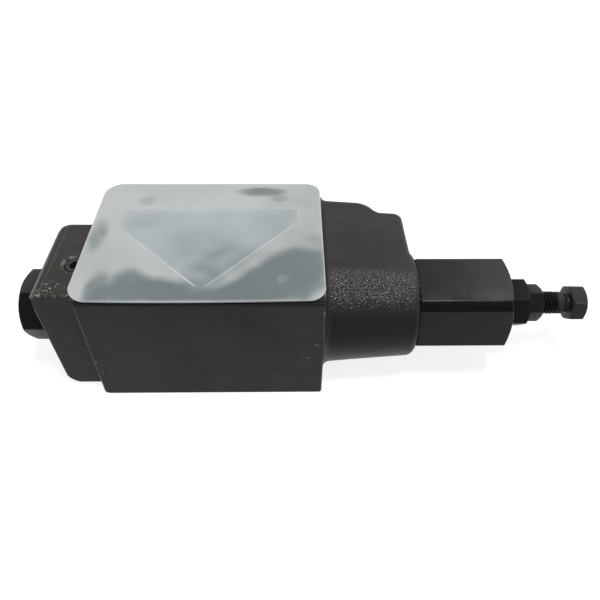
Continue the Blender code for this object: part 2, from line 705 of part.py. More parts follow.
def pilot_plug():
    """A screw plug with a hexagon socket, its top at height 0."""
    profile = [
        (0.0, 0.0),
        (0.0, PILOT_PLUG_RADIUS - PILOT_PLUG_CHAMFER / 2),
        (-PILOT_PLUG_CHAMFER / 2, PILOT_PLUG_RADIUS),
        (-PILOT_PLUG_LENGTH + PILOT_PLUG_CHAMFER, PILOT_PLUG_RADIUS),
        (-PILOT_PLUG_LENGTH, PILOT_PLUG_RADIUS - PILOT_PLUG_CHAMFER),
        (-PILOT_PLUG_LENGTH, 0.0),
    ]
    plug = turned("pilot_port_plug", profile, SMALL_SIDES, BLACK_STEEL)
    socket = hexagon("plug_socket", PILOT_PLUG_SOCKET, -PILOT_PLUG_SOCKET_DEPTH, OVERRUN, 0.0)
    boolean(plug, socket, "DIFFERENCE", follow=True)
    plug.location = pilot_plug_place()


def main_spool():
    """The spool, with its waist between the galleries and balance grooves in both lands."""
    length = SHOULDER_X - SPOOL_X
    waist_start = GALLERY_X[0] - SPOOL_X
    waist_end = GALLERY_X[1] + GALLERY_LENGTH / 2 - SPOOL_X
    profile = [(length, 0.0), (length, SPOOL_RADIUS - SPOOL_CHAMFER)]
    profile += [(length - SPOOL_CHAMFER, SPOOL_RADIUS)]
    profile += balance_grooves(waist_end)
    profile += [
        (waist_end, SPOOL_RADIUS),
        (waist_end, SPOOL_WAIST_RADIUS),
        (waist_start, SPOOL_WAIST_RADIUS),
        (waist_start, SPOOL_RADIUS),
    ]
    profile += balance_grooves(waist_start / 4)
    profile += [(SPOOL_CHAMFER, SPOOL_RADIUS), (0.0, SPOOL_RADIUS - SPOOL_CHAMFER), (0.0, 0.0)]
    spool = turned("main_spool", profile, MID_SIDES, BRIGHT_STEEL)
    sensing_at = (waist_start + waist_end) / 2
    bore = [
        (sensing_at, 0.0),
        (sensing_at, PISTON_BORE_RADIUS),
        (-OVERRUN, PISTON_BORE_RADIUS),
        (-OVERRUN, 0.0),
    ]
    boolean(spool, turned("piston_bore", bore, SMALL_SIDES), "DIFFERENCE", follow=True)
    shape = bmesh.new()
    add_cylinder(shape, SENSING_HOLE_RADIUS, -BORE_RADIUS, BORE_RADIUS, 12)
    drilling = add_object("sensing_hole", mesh_from(shape, "sensing_hole"))
    drilling.rotation_euler = (math.pi / 2, 0.0, 0.0)
    drilling.location = (0.0, 0.0, sensing_at - PISTON_BORE_RADIUS)
    boolean(spool, drilling, "DIFFERENCE", follow=True)
    on_spool_axis(spool, SPOOL_X)


def balance_grooves(start):
    """Profile points of three V grooves in a land, the last of them one spacing past start."""
    points = []
    for i in (3, 2, 1):
        middle = start + i * BALANCE_GROOVE_SPACING
        points += [
            (middle + BALANCE_GROOVE, SPOOL_RADIUS),
            (middle, SPOOL_RADIUS - BALANCE_GROOVE),
            (middle - BALANCE_GROOVE, SPOOL_RADIUS),
        ]
    return points


def sensing_piston():
    chamfer = SPOOL_CHAMFER
    profile = [
        (PISTON_LENGTH, 0.0),
        (PISTON_LENGTH, PISTON_RADIUS - chamfer),
        (PISTON_LENGTH - chamfer, PISTON_RADIUS),
        (chamfer, PISTON_RADIUS),
        (0.0, PISTON_RADIUS - chamfer),
        (0.0, 0.0),
    ]
    on_spool_axis(turned("sensing_piston", profile, SMALL_SIDES, BRIGHT_STEEL), PISTON_X)


def spring_guide():
    """The flanged guide between the spool and the spring, with a hole for oil."""
    nose_end = GUIDE_THICKNESS + GUIDE_NOSE_LENGTH
    profile = [
        (nose_end, GUIDE_HOLE_RADIUS),
        (nose_end, NOSE_RADIUS - SPOOL_CHAMFER),
        (nose_end - SPOOL_CHAMFER, NOSE_RADIUS),
        (GUIDE_THICKNESS, NOSE_RADIUS),
        (GUIDE_THICKNESS, GUIDE_RADIUS),
        (0.0, GUIDE_RADIUS),
        (0.0, GUIDE_HOLE_RADIUS),
    ]
    on_spool_axis(turned("spring_guide", profile, MID_SIDES, BRIGHT_STEEL), GUIDE_X)


def main_spring():
    """A coil with one closed turn at each end."""
    points_per_turn = 12
    closed_pitch = 2 * SPRING_WIRE + SEAT_GAP
    rise = SPRING_LENGTH - 2 * SPRING_WIRE - 2 * closed_pitch
    places = []
    for i in range(SPRING_TURNS * points_per_turn + 1):
        turn = i / points_per_turn
        open_share = min(max((turn - 1) / (SPRING_TURNS - 2), 0.0), 1.0)
        closed_turns = min(turn, 1.0) + max(turn - SPRING_TURNS + 1, 0.0)
        height = SPRING_WIRE + closed_pitch * closed_turns + rise * open_share
        angle = math.tau * turn
        places.append((SPRING_RADIUS * math.cos(angle), SPRING_RADIUS * math.sin(angle), height))
    spring = tubes("main_spring", [(places, SPRING_WIRE)], SPRING_WIRE, SPRING_STEEL)
    on_spool_axis(spring, SPRING_X)
    spring.data.shade_smooth()


def spring_housing():
    housing = chamfered_hexagon(
        "spring_housing", HOUSING_HEX, HOUSING_HEX_LENGTH, -HOUSING_HEX_TURN, (False, True)
    )
    stem = stem_profile(HOUSING_STEM_RADIUS, HOUSING_STEM_LENGTH, SEAL_WIRE, HOUSING_HEX_LENGTH / 2)
    boolean(housing, turned("housing_stem", stem, MID_SIDES), "UNION", follow=True)
    _, _, mouth, depth = head_seal_seat(GLAND_STEM_RADIUS, SMALL_SEAL_WIRE)
    wall = HOUSING_HEX_LENGTH - HOUSING_END_WALL
    bore = [
        (HOUSING_HEX_LENGTH + OVERRUN, 0.0),
        (HOUSING_HEX_LENGTH + OVERRUN, mouth),
        (HOUSING_HEX_LENGTH - depth, mouth),
        (HOUSING_HEX_LENGTH - depth, GLAND_STEM_RADIUS + SEAT_GAP),
        (wall, GLAND_STEM_RADIUS + SEAT_GAP),
        (wall, HOUSING_BORE_RADIUS),
        (-HOUSING_STEM_LENGTH - OVERRUN, HOUSING_BORE_RADIUS),
        (-HOUSING_STEM_LENGTH - OVERRUN, 0.0),
    ]
    boolean(housing, turned("housing_bore", bore, MID_SIDES), "DIFFERENCE", follow=True)
    on_spool_axis(housing, HOUSING_X)
    shade(housing)
    head_seal("housing_seal", HOUSING_STEM_RADIUS, SEAL_WIRE, BOSS_X, 1)


def adjuster_plunger():
    """The plunger with a spring nose, a seal groove and a dimple for the screw's tip."""
    ring = PLUNGER_RADIUS - SMALL_SEAL_WIRE
    groove = ring - SMALL_SEAL_WIRE - SEAT_GAP
    groove_half = SMALL_SEAL_WIRE + SEAT_GAP
    dimple = SCREW_TIP_RADIUS + SEAT_GAP
    profile = [
        (PLUNGER_LENGTH - DIMPLE_DEPTH, 0.0),
        (PLUNGER_LENGTH - DIMPLE_DEPTH, dimple),
        (PLUNGER_LENGTH, dimple),
        (PLUNGER_LENGTH, PLUNGER_RADIUS - PLUNGER_CHAMFER),
        (PLUNGER_LENGTH - PLUNGER_CHAMFER, PLUNGER_RADIUS),
        (PLUNGER_GROOVE_AT + groove_half, PLUNGER_RADIUS),
        (PLUNGER_GROOVE_AT + groove_half, groove),
        (PLUNGER_GROOVE_AT - groove_half, groove),
        (PLUNGER_GROOVE_AT - groove_half, PLUNGER_RADIUS),
        (0.0, PLUNGER_RADIUS),
        (0.0, NOSE_RADIUS),
        (-PLUNGER_NOSE_LENGTH + PLUNGER_CHAMFER, NOSE_RADIUS),
        (-PLUNGER_NOSE_LENGTH, NOSE_RADIUS - PLUNGER_CHAMFER),
        (-PLUNGER_NOSE_LENGTH, 0.0),
    ]
    on_spool_axis(turned("adjuster_plunger", profile, MID_SIDES, BRIGHT_STEEL), PLUNGER_X)
    seal = seal_ring("plunger_seal", ring, SMALL_SEAL_WIRE, MID_SIDES)
    on_spool_axis(seal, PLUNGER_X + PLUNGER_GROOVE_AT)


def screw_passage(name, length):
    """A cutter for the adjusting screw's hole, with a small countersink at both ends."""
    sink = SCREW_HOLE_RADIUS + SCREW_TIP_CHAMFER
    profile = [
        (length + OVERRUN, 0.0),
        (length + OVERRUN, sink + OVERRUN),
        (length - SCREW_TIP_CHAMFER, SCREW_HOLE_RADIUS),
        (-OVERRUN, SCREW_HOLE_RADIUS),
        (-OVERRUN, 0.0),
    ]
    return turned(name, profile, SMALL_SIDES)


def gland_nut():
    gland = chamfered_hexagon("gland_nut", GLAND_HEX, GLAND_HEX_LENGTH, -GLAND_HEX_TURN, (True, True))
    stem = stem_profile(GLAND_STEM_RADIUS, GLAND_STEM_LENGTH, SMALL_SEAL_WIRE, GLAND_HEX_LENGTH / 2)
    boolean(gland, turned("gland_stem", stem, MID_SIDES), "UNION", follow=True)
    passage = screw_passage("gland_passage", GLAND_HEX_LENGTH + GLAND_STEM_LENGTH)
    passage.location.z = -GLAND_STEM_LENGTH
    boolean(gland, passage, "DIFFERENCE", follow=True)
    on_spool_axis(gland, GLAND_X)
    shade(gland)
    head_seal("gland_seal", GLAND_STEM_RADIUS, SMALL_SEAL_WIRE, HOUSING_END_X, 1)


def lock_nut():
    nut = chamfered_hexagon("lock_nut", LOCK_NUT_HEX, LOCK_NUT_HEIGHT, -LOCK_NUT_TURN, (True, True))
    boolean(nut, screw_passage("lock_nut_passage", LOCK_NUT_HEIGHT), "DIFFERENCE", follow=True)
    on_spool_axis(nut, LOCK_NUT_X)
    shade(nut)


def adjusting_screw():
    screw = chamfered_hexagon(
        "adjusting_screw", SCREW_HEX, SCREW_HEAD_HEIGHT, -SCREW_HEAD_TURN, (True, True)
    )
    tip = SCREW_TIP_X - SCREW_HEAD_X
    undercut = SCREW_RADIUS - SCREW_UNDERCUT_DEPTH
    shaft = [
        (SCREW_HEAD_HEIGHT / 2, 0.0),
        (SCREW_HEAD_HEIGHT / 2, undercut),
        (-SCREW_UNDERCUT_LENGTH, undercut),
        (-SCREW_UNDERCUT_LENGTH - SCREW_UNDERCUT_DEPTH, SCREW_RADIUS),
        (tip + SCREW_TIP_LENGTH, SCREW_RADIUS),
        (tip + SCREW_TIP_LENGTH, SCREW_TIP_RADIUS),
        (tip + SCREW_TIP_CHAMFER, SCREW_TIP_RADIUS),
        (tip, SCREW_TIP_RADIUS - SCREW_TIP_CHAMFER),
        (tip, 0.0),
    ]
    boolean(screw, turned("screw_shaft", shaft, SMALL_SIDES), "UNION", follow=True)
    on_spool_axis(screw, SCREW_HEAD_X)
    shade(screw)


valve_body()
face_seals()
port_cover()
end_plug()
pilot_plug()
main_spool()
sensing_piston()
spring_guide()
main_spring()
spring_housing()
adjuster_plunger()
gland_nut()
lock_nut()
adjusting_screw()
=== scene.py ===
import math

import bpy
import numpy as np
from mathutils import Matrix, Vector


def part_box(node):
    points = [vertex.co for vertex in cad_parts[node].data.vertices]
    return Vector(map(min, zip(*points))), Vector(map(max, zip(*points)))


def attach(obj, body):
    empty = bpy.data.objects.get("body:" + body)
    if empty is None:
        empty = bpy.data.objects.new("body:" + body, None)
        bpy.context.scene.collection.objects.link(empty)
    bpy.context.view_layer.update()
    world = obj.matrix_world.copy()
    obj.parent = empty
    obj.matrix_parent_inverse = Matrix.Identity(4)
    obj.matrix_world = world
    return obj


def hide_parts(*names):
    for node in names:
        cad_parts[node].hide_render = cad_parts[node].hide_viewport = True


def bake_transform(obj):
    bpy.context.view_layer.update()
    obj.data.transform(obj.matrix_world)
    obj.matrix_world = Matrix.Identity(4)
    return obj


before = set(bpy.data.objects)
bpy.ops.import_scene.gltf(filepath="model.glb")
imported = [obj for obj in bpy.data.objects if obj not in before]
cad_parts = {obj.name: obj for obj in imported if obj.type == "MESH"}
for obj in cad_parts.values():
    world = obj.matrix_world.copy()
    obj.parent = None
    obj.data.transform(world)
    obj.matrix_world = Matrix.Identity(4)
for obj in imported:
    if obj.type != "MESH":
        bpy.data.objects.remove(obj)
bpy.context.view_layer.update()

mm = 0.001  # sizes below are in millimetres, and the meshes are in metres
flatTurn = math.pi / 3  # the angle that one flat of a hexagon takes up
seatGap = 0.3  # between a stem or a ring and its seat
faceShare = 0.97  # a chamfered hexagon's round face, as a share of its flats
headShare = 0.4  # whatever is farther from the axis than this share of the flats is the outside of a head
cornerShare = 0.12  # columns whose radius is this share of the rounding short of the largest are still its corner


def nodeBox(node):
    return [np.array(corner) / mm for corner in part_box(node)]


castLow, castHigh = nodeBox("valve_body")
spoolLow, spoolHigh = nodeBox("main_spool")
spoolY, spoolZ = (spoolLow + spoolHigh)[1:] / 2  # the axis that all the turned pieces share
print("frame loaded, spool axis at", round(spoolY, 3), round(spoolZ, 3))


def pick(values, *keys):
    return [values[key] for key in keys]


def feed(node, sockets):
    # A socket gets a plain value, or a link where the value is another node's socket
    for key, value in sockets.items():
        if isinstance(value, bpy.types.NodeSocket):
            node.id_data.links.new(value, node.inputs[key])
        else:
            node.inputs[key].default_value = value


def newMaterial(name, sockets):
    made = bpy.data.materials.new(name)
    made.use_nodes = True
    shader = made.node_tree.nodes["Principled BSDF"]
    feed(shader, sockets)
    return made, made.node_tree, shader


def addNode(tree, kind, sockets, **settings):
    node = tree.nodes.new("ShaderNode" + kind)
    for key, value in settings.items():
        setattr(node, key, value)
    feed(node, sockets)
    return node


def noiseOf(tree, place, size, detail=2.0, uneven=0.5, stretch=(1.0, 1.0, 1.0)):
    # Noise whose blotches are about size mm wide, on the piece's own coordinates
    spread = addNode(tree, "Mapping", {"Vector": place, "Scale": stretch}).outputs[0]
    sockets = {"Vector": spread, "Scale": 1.0 / (size * mm), "Detail": detail, "Roughness": uneven}
    return addNode(tree, "TexNoise", sockets).outputs["Fac"]


def rampOf(tree, source, low, high, start=0.0, end=1.0):
    sockets = {"Value": source, "From Min": low, "From Max": high, "To Min": start, "To Max": end}
    return addNode(tree, "MapRange", sockets, interpolation_type="SMOOTHSTEP").outputs["Result"]


def mathOf(tree, operation, first, second=0.0):
    return addNode(tree, "Math", {0: first, 1: second}, operation=operation).outputs[0]


def blendOf(tree, share, first, second):
    # A colour between two, each given as a socket or as red, green and blue
    first, second = ((*color, 1.0) if isinstance(color, tuple) else color for color in (first, second))
    return addNode(tree, "Mix", {"Factor": share, 6: first, 7: second}, data_type="RGBA").outputs[2]


def bumpOf(tree, height, strength, depth, under=None):
    # depth is in mm; under is the bump that this one lies on
    sockets = {"Height": height, "Strength": strength, "Distance": depth * mm}
    return addNode(tree, "Bump", {**sockets, "Normal": under} if under else sockets).outputs[0]


def placeOf(tree):
    return addNode(tree, "TexCoord", {}).outputs["Object"]


def attributeOf(tree, name):
    return addNode(tree, "Attribute", {}, attribute_name=name).outputs["Fac"]


paint = {
    "color": (0.030, 0.0285, 0.0255),
    "fadedColor": (0.042, 0.040, 0.036),
    # painted shade, and the darkening of barrel and wing
    "shadeAndToneColor": (0.0085, 0.0078, 0.0068),
    # painted glints on the tips of the cast grain
    "glintColor": (0.092, 0.09, 0.083),
    # worn paint and painted highlight along the end block's edges
    "wearAndHighlightColor": (0.13, 0.127, 0.117),
    "wornColor": (0.30, 0.29, 0.26),
    "wornShare": 0.5,
    "chipColor": (0.46, 0.45, 0.42),
    "chipShare": 0.72,
    "cloudSize": 22.0,
    "grainSize": 0.6,
    "grainDepth": 0.46,
    "peelSize": 5.0,
    "peelDepth": 0.6,
    "pitSize": 3.2,
    "pitDepth": 0.4,
    "wearSize": 2.6,
    "chipSize": 1.2,
    "chipDepth": 0.25,
    "shine": (0.12, 0.27),  # on smooth faces, and on the cast grain
    "roughness": (0.42, 0.15),
}


def paintedCasting():
    made, tree, shader = newMaterial("paintedCasting", {"Metallic": 0.0})
    place, rough = placeOf(tree), attributeOf(tree, "rough")
    cloud = rampOf(tree, noiseOf(tree, place, paint["cloudSize"], 3.0), 0.35, 0.7)
    grain = noiseOf(tree, place, paint["grainSize"], 1.0)
    peel = noiseOf(tree, place, paint["peelSize"])
    smoothed = rampOf(tree, noiseOf(tree, place, paint["pitSize"], 1.0), 0.70, 0.76, 1.0, 0.0)  # 0 in a pit
    wear = rampOf(tree, noiseOf(tree, place, paint["wearSize"], 3.0, 0.7), 0.42, 0.62)
    wear = mathOf(tree, "MULTIPLY", rampOf(tree, attributeOf(tree, "edge"), 0.3, 0.9), wear)
    chip = rampOf(tree, noiseOf(tree, place, paint["chipSize"], 1.0), 0.575, 0.62)
    chip = mathOf(tree, "MULTIPLY", attributeOf(tree, "chipped"), chip)
    # Painted glints: the tips of the cast grain are lightened where the grain is strong, on the band of barrel and
    # wing that catches the key light
    paintedGlints = mathOf(tree, "MULTIPLY", rampOf(tree, rough, 0.3, 0.9), rampOf(tree, grain, 0.53, 0.68))
    color = blendOf(tree, cloud, paint["color"], paint["fadedColor"])
    # Painted shade, painted glints on the grain's tips and painted edge highlights go in with the real wear and
    # chips
    for share, key in (
        (attributeOf(tree, "paintedShadeAndTone"), "shadeAndToneColor"),
        (paintedGlints, "glintColor"),
        (attributeOf(tree, "wearAndHighlight"), "wearAndHighlightColor"),
        (mathOf(tree, "MULTIPLY", wear, paint["wornShare"]), "wornColor"),
        (mathOf(tree, "MULTIPLY", chip, paint["chipShare"]), "chipColor"),
    ):
        color = blendOf(tree, share, color, paint[key])
    bump = bumpOf(tree, peel, 0.25, paint["peelDepth"])
    bump = bumpOf(tree, grain, rough, paint["grainDepth"], bump)
    bump = bumpOf(tree, smoothed, 0.6, paint["pitDepth"], bump)
    bump = bumpOf(tree, chip, 0.8, paint["chipDepth"], bump)
    shine = rampOf(tree, rough, 0.0, 1.0, *paint["shine"])
    roughness = rampOf(tree, rough, 0.0, 1.0, *paint["roughness"])
    feed(shader, {"Base Color": color, "Specular IOR Level": shine, "Roughness": roughness, "Normal": bump})
    return made


blackening = {
    "color": (0.015, 0.0145, 0.0135),
    "streakColor": (0.021, 0.0205, 0.019),
    # colour of oil, painted shade and painted dark reflection
    "oilAndShadeColor": (0.0045, 0.004, 0.0035),
    # worn corners with a painted highlight, and painted sheen
    "wearAndHighlightColor": (0.085, 0.083, 0.079),
    "wearAndSheenShare": 0.6,
    "streakSize": 0.45,
    "streakDepth": 0.05,
    "cloudSize": 9.0,
    "shine": (0.16, 0.04),  # where dry, and where oily or painted dark
    "roughness": (0.26, 0.40),
}


def blackSteel():
    # Blackened, with drawn streaks along the spool's axis, rubbed corners with a painted highlight, a painted
    # sheen, and darker stretches of oil, painted shade and painted dark reflection
    made, tree, shader = newMaterial("blackSteel", {"Metallic": 0.0})
    place, oilAndShade = placeOf(tree), attributeOf(tree, "oilAndShade")
    streaks = noiseOf(tree, place, blackening["streakSize"], 2.0, 0.6, (0.03, 1.0, 1.0))
    cloud = noiseOf(tree, place, blackening["cloudSize"], 4.0, 0.6)
    # Worn corners with a painted highlight on them, and the painted sheen of one flat, lighten the steel
    wearAndSheen = rampOf(tree, attributeOf(tree, "edge"), 0.2, 0.9)
    wearAndSheen = mathOf(tree, "MULTIPLY", wearAndSheen, rampOf(tree, cloud, 0.3, 0.65))
    wearAndSheen = mathOf(tree, "MULTIPLY", wearAndSheen, blackening["wearAndSheenShare"])
    color = blendOf(tree, rampOf(tree, streaks, 0.35, 0.65), blackening["streakColor"], blackening["color"])
    color = blendOf(tree, oilAndShade, color, blackening["oilAndShadeColor"])
    color = blendOf(tree, wearAndSheen, color, blackening["wearAndHighlightColor"])
    shine = rampOf(tree, oilAndShade, 0.0, 1.0, *blackening["shine"])
    roughness = rampOf(tree, cloud, 0.3, 0.75, *blackening["roughness"])
    bump = bumpOf(tree, streaks, 0.25, blackening["streakDepth"])
    feed(shader, {"Base Color": color, "Specular IOR Level": shine, "Roughness": roughness, "Normal": bump})
    return made


def groundSteel(name, color, roughness):
    # Fine rings of grinding round the spool's axis, under patches of duller metal
    made, tree, shader = newMaterial(name, {"Metallic": 1.0})
    place = placeOf(tree)
    rings = noiseOf(tree, place, 0.2, 1.0, 0.5, (1.0, 0.05, 0.05))
    cloud = noiseOf(tree, place, 12.0, 3.0)
    color = blendOf(tree, cloud, tuple(0.8 * part for part in color), color)
    roughness = rampOf(tree, cloud, 0.3, 0.7, roughness - 0.05, roughness + 0.07)
    feed(shader, {"Base Color": color, "Roughness": roughness, "Normal": bumpOf(tree, rings, 0.2, 0.04)})
    return made


def sealRubber():
    made, tree, shader = newMaterial("sealRubber", {"Metallic": 0.0, "Specular IOR Level": 0.4})
    place = placeOf(tree)
    bloom = noiseOf(tree, place, 2.0, 3.0)
    color = blendOf(tree, bloom, (0.012, 0.012, 0.012), (0.03, 0.03, 0.032))
    bump = bumpOf(tree, noiseOf(tree, place, 0.3), 0.2, 0.05)
    feed(shader, {"Base Color": color, "Roughness": rampOf(tree, bloom, 0.3, 0.7, 0.45, 0.65), "Normal": bump})
    return made


milk = {
    "color": (0.475, 0.505, 0.495),
    "panelColor": (0.37, 0.415, 0.44),
    "oiledColor": (0.124, 0.153, 0.166),
    # colour of the line along the panel's back and of the painted highlights
    "lineAndHighlightColor": (0.72, 0.75, 0.76),
    "roughness": (0.30, 0.42),
    "cloudSize": 16.0,
    "waveSize": 14.0,
    "waveDepth": 0.3,
    "grainSize": 0.6,
    "grainDepth": 0.03,
}

# The raised panel moulded into the cover plate, pointed towards the front
panel = {
    "tip": (-0.2, -29.4),
    "left": (-38.6, 8.4),
    "right": (37.2, 11.9),
    "back": 20.3,
    "sides": (-37.6, 36.6),
    "rise": 0.22,
    # width of the painted highlight along each slanting edge
    "lineWidth": 0.42,
}


def lineOf(tree, place, start, end, width):
    # 1 on the straight line through two points seen from above, and 0 from width mm off it
    along = np.array(end) - start
    across = np.array([-along[1], along[0]]) / np.hypot(*along)
    sockets = {0: place, 1: (*across, 0.0)}
    off = addNode(tree, "VectorMath", sockets, operation="DOT_PRODUCT").outputs["Value"]
    off = mathOf(tree, "SUBTRACT", off, float(across @ start) * mm)
    return rampOf(tree, mathOf(tree, "ABSOLUTE", off), 0.0, width * mm, 1.0, 0.0)


def milkyPlastic():
    made, tree, shader = newMaterial("milkyPlastic", {"Metallic": 0.0, "IOR": 1.5})
    place, slope, lines = placeOf(tree), attributeOf(tree, "slope"), attributeOf(tree, "lineAndHighlight")
    cloud = noiseOf(tree, place, milk["cloudSize"])
    grain = noiseOf(tree, place, milk["grainSize"])
    wave = noiseOf(tree, place, milk["waveSize"], 1.0)
    color = blendOf(tree, attributeOf(tree, "panel"), milk["color"], milk["panelColor"])
    color = blendOf(tree, attributeOf(tree, "oiled"), color, milk["oiledColor"])
    # Painted highlights along the panel's two slanting edges, over the painted highlight round the rim and the line
    # along the panel's back
    for end in ("left", "right"):
        drawn = lineOf(tree, place, panel["tip"], panel[end], panel["lineWidth"])
        lines = mathOf(tree, "MAXIMUM", lines, mathOf(tree, "MULTIPLY", drawn, slope))
    color = blendOf(tree, lines, color, milk["lineAndHighlightColor"])
    value = rampOf(tree, cloud, 0.25, 0.75, 0.95, 1.05)
    color = addNode(tree, "HueSaturation", {"Color": color, "Value": value}).outputs[0]
    bump = bumpOf(tree, grain, 0.12, milk["grainDepth"], bumpOf(tree, wave, 0.3, milk["waveDepth"]))
    roughness = rampOf(tree, cloud, 0.3, 0.7, *milk["roughness"])
    feed(shader, {"Base Color": color, "Roughness": roughness, "Normal": bump})
    return made


materials = {
    "painted_casting": paintedCasting(),
    "black_steel": blackSteel(),
    "bright_steel": groundSteel("brightSteel", (0.62, 0.62, 0.63), 0.22),
    "spring_steel": groundSteel("springSteel", (0.24, 0.24, 0.26), 0.36),
    "seal_rubber": sealRubber(),
    "cover_plastic": milkyPlastic(),
}
print("materials made")


def together(*parts):
    # Points from their coordinates, each an array or one number for all
    return np.stack(np.broadcast_arrays(*parts), axis=-1)


def ramp(value, low, high):
    # 0 up to low and 1 from high, and straight between them
    return np.clip((value - low) / (high - low), 0.0, 1.0)


def smooth(value, low, high):
    # The same with the S-curve 3t^2 - 2t^3 between them
    t = ramp(value, low, high)
    return t * t * (3 - 2 * t)


def evenAngles(count):
    return np.linspace(0.0, math.tau, count, endpoint=False)


def roundSpool(x, radius, angle):
    # Angles run from the back upwards
    return together(x, spoolY + radius * np.cos(angle), spoolZ + radius * np.sin(angle))


def outwardFaces(points, parts):
    # Turns every face over where the enclosed volume, a sum of corner triple products, comes out negative
    volume = 0.0
    for part in parts:
        corners = [points[column] for column in part.T]
        for second, third in zip(corners[1:], corners[2:]):
            volume += np.einsum("ij,ij->", corners[0], np.cross(second, third))
    return parts if volume > 0 else [part[:, ::-1] for part in parts]


def newMesh(name, points, parts):
    # The parts are arrays of faces, each with three or four corners
    mesh = bpy.data.meshes.new(name)
    mesh.from_pydata(points * mm, [], [face for part in parts for face in part.tolist()])
    return mesh


def setAttributes(mesh, attributes):
    # One number for each vertex; the poles, which come last, get 0
    for key, values in attributes.items():
        full = np.zeros(len(mesh.vertices), np.float32)
        full[: values.size] = values.reshape(-1)
        mesh.attributes.new(key, "FLOAT", "POINT").data.foreach_set("value", full)


def closedSurface(grid, ringed=True):
    # Rows of points become one surface. The columns close round, and the rows do where ringed. Open rows end in
    # a pole at the middle of the first and last row
    points = grid.reshape(-1, 3)
    index = np.arange(len(points)).reshape(grid.shape[:2])
    rows = np.vstack([index, index[:1]]) if ringed else index
    first, second = rows[:-1], rows[1:]
    faces = [together(first, np.roll(first, -1, axis=1), np.roll(second, -1, axis=1), second).reshape(-1, 4)]
    if not ringed:
        start, last, pole = index[0], index[-1], len(points)
        faces += [together(np.roll(start, -1), start, pole), together(last, np.roll(last, -1), pole + 1)]
        points = np.vstack([points, grid[0].mean(axis=0), grid[-1].mean(axis=0)])
    return points, outwardFaces(points, faces)


def putMesh(name, grid, ringed=True, attributes=None):
    mesh = newMesh(name, *closedSurface(grid, ringed))
    setAttributes(mesh, attributes or {})
    mesh.shade_smooth()
    return mesh


def putPiece(name, mesh, material, body, node):
    made = bpy.data.objects.new(name, mesh)
    bpy.context.scene.collection.objects.link(made)
    mesh.materials.clear()
    mesh.materials.append(materials[material])
    if body:
        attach(made, body)
    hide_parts(node)
    return made


def softCorners(path, width, ringed=False):
    # Each corner of the path gives way to three points: one width before it, one just inside it, one after it
    def toward(target):
        gap = target - path
        length = np.maximum(np.linalg.norm(gap, axis=-1, keepdims=True), 1e-9)
        return path + gap * np.minimum(width / length, 0.45)

    near, far = toward(np.roll(path, 1, axis=0)), toward(np.roll(path, -1, axis=0))
    middle = path / 2 + (near + far) / 4
    rows = np.stack([near, middle, far], axis=1).reshape(-1, *path.shape[1:])
    return rows if ringed else np.concatenate([path[:1], rows[3:-3], path[-1:]])


def cornerWear(path, ringed=False):
    # 1 on the rows just inside a corner and 0 elsewhere, for the rubbed edges, which carry wear and a painted
    # highlight
    wear = np.zeros(path.shape[:2])
    if ringed:
        wear[1::3] = 1.0
    else:
        wear[2:-1:3] = 1.0
    return wear


def aroundSpool(path, angles, start, side=1):
    # Height runs from start along X, and the angle from straight up towards the back
    height, radius = path[..., 0], path[..., 1]
    return together(start + side * height, spoolY + radius * np.sin(angles), spoolZ + radius * np.cos(angles))


def wide(profile, columns):
    # A profile of (height, radius) repeated for every column; a radius may also be a row of radii
    return np.array([together(np.zeros(columns) + height, radius) for height, radius in profile])


def turnedPiece(name, node, profile, start, body, ringed=False, columns=72, soft=0.15):
    path = softCorners(wide(profile, columns), soft, ringed)
    grid = aroundSpool(path, evenAngles(columns), start)
    mesh = putMesh(name, grid, ringed, {"edge": cornerWear(path, ringed)})
    return putPiece(name, mesh, "bright_steel", body, node)


def cornerCircle(shape):
    # Angle from a flat's middle to its rounded corner, and the distance of that corner's circle from the axis
    straight = shape["flats"] / 2 - shape["rounding"]
    return math.atan2(straight * math.tan(flatTurn / 2), shape["flats"] / 2), straight / math.cos(flatTurn / 2)


def hexagonAngles(shape):
    # Columns for a hexagon: even over each flat, and closer together round each corner
    reach, _ = cornerCircle(shape)
    overFlat = np.linspace(-reach, reach, shape.get("columns", 13))
    overCorner = np.linspace(reach, flatTurn - reach, 5)[1:-1]
    middles = math.radians(shape["turn"]) + flatTurn / 2 + np.arange(6) * flatTurn
    return (middles[:, None] + np.concatenate([overFlat, overCorner])).reshape(-1)


def hexagonRadius(angles, shape):
    # On a flat: half the flats over the cosine of the angle from its middle. Round a corner: the far side of
    # a circle of the rounding's radius, whose centre lies on the corner's line
    reach, center = cornerCircle(shape)
    fromMiddle = (angles - math.radians(shape["turn"])) % flatTurn - flatTurn / 2
    off = flatTurn / 2 - np.abs(fromMiddle)
    inside = np.maximum(shape["rounding"] ** 2 - (center * np.sin(off)) ** 2, 0.0)
    corner = center * np.cos(off) + np.sqrt(inside)
    return np.where(off >= flatTurn / 2 - reach - 1e-9, shape["flats"] / 2 / np.cos(fromMiddle), corner)


def hexagonRows(angles, shape):
    # A chamfer cone of 30 degrees meets each flat in an arc, so the rows at its edge follow that arc
    length, radius = shape["length"], hexagonRadius(angles, shape)
    face = faceShare * shape["flats"] / 2
    drop = (radius - face) * math.tan(flatTurn / 2)
    rows = [(0.0, face), (drop, radius)] if shape["chamfers"][0] else [(0.0, radius)]
    return rows + ([(length - drop, radius), (length, face)] if shape["chamfers"][1] else [(length, radius)])


def cornerColumns(angles, shape, slack):
    # The columns along a hexagon's six corners: the radius there is within slack of its largest
    radius = hexagonRadius(angles, shape)
    return radius > radius.max() - slack


def isHead(path, shape):
    return (path[..., 0] > -0.05) & (path[..., 1] > shape["flats"] * headShare)


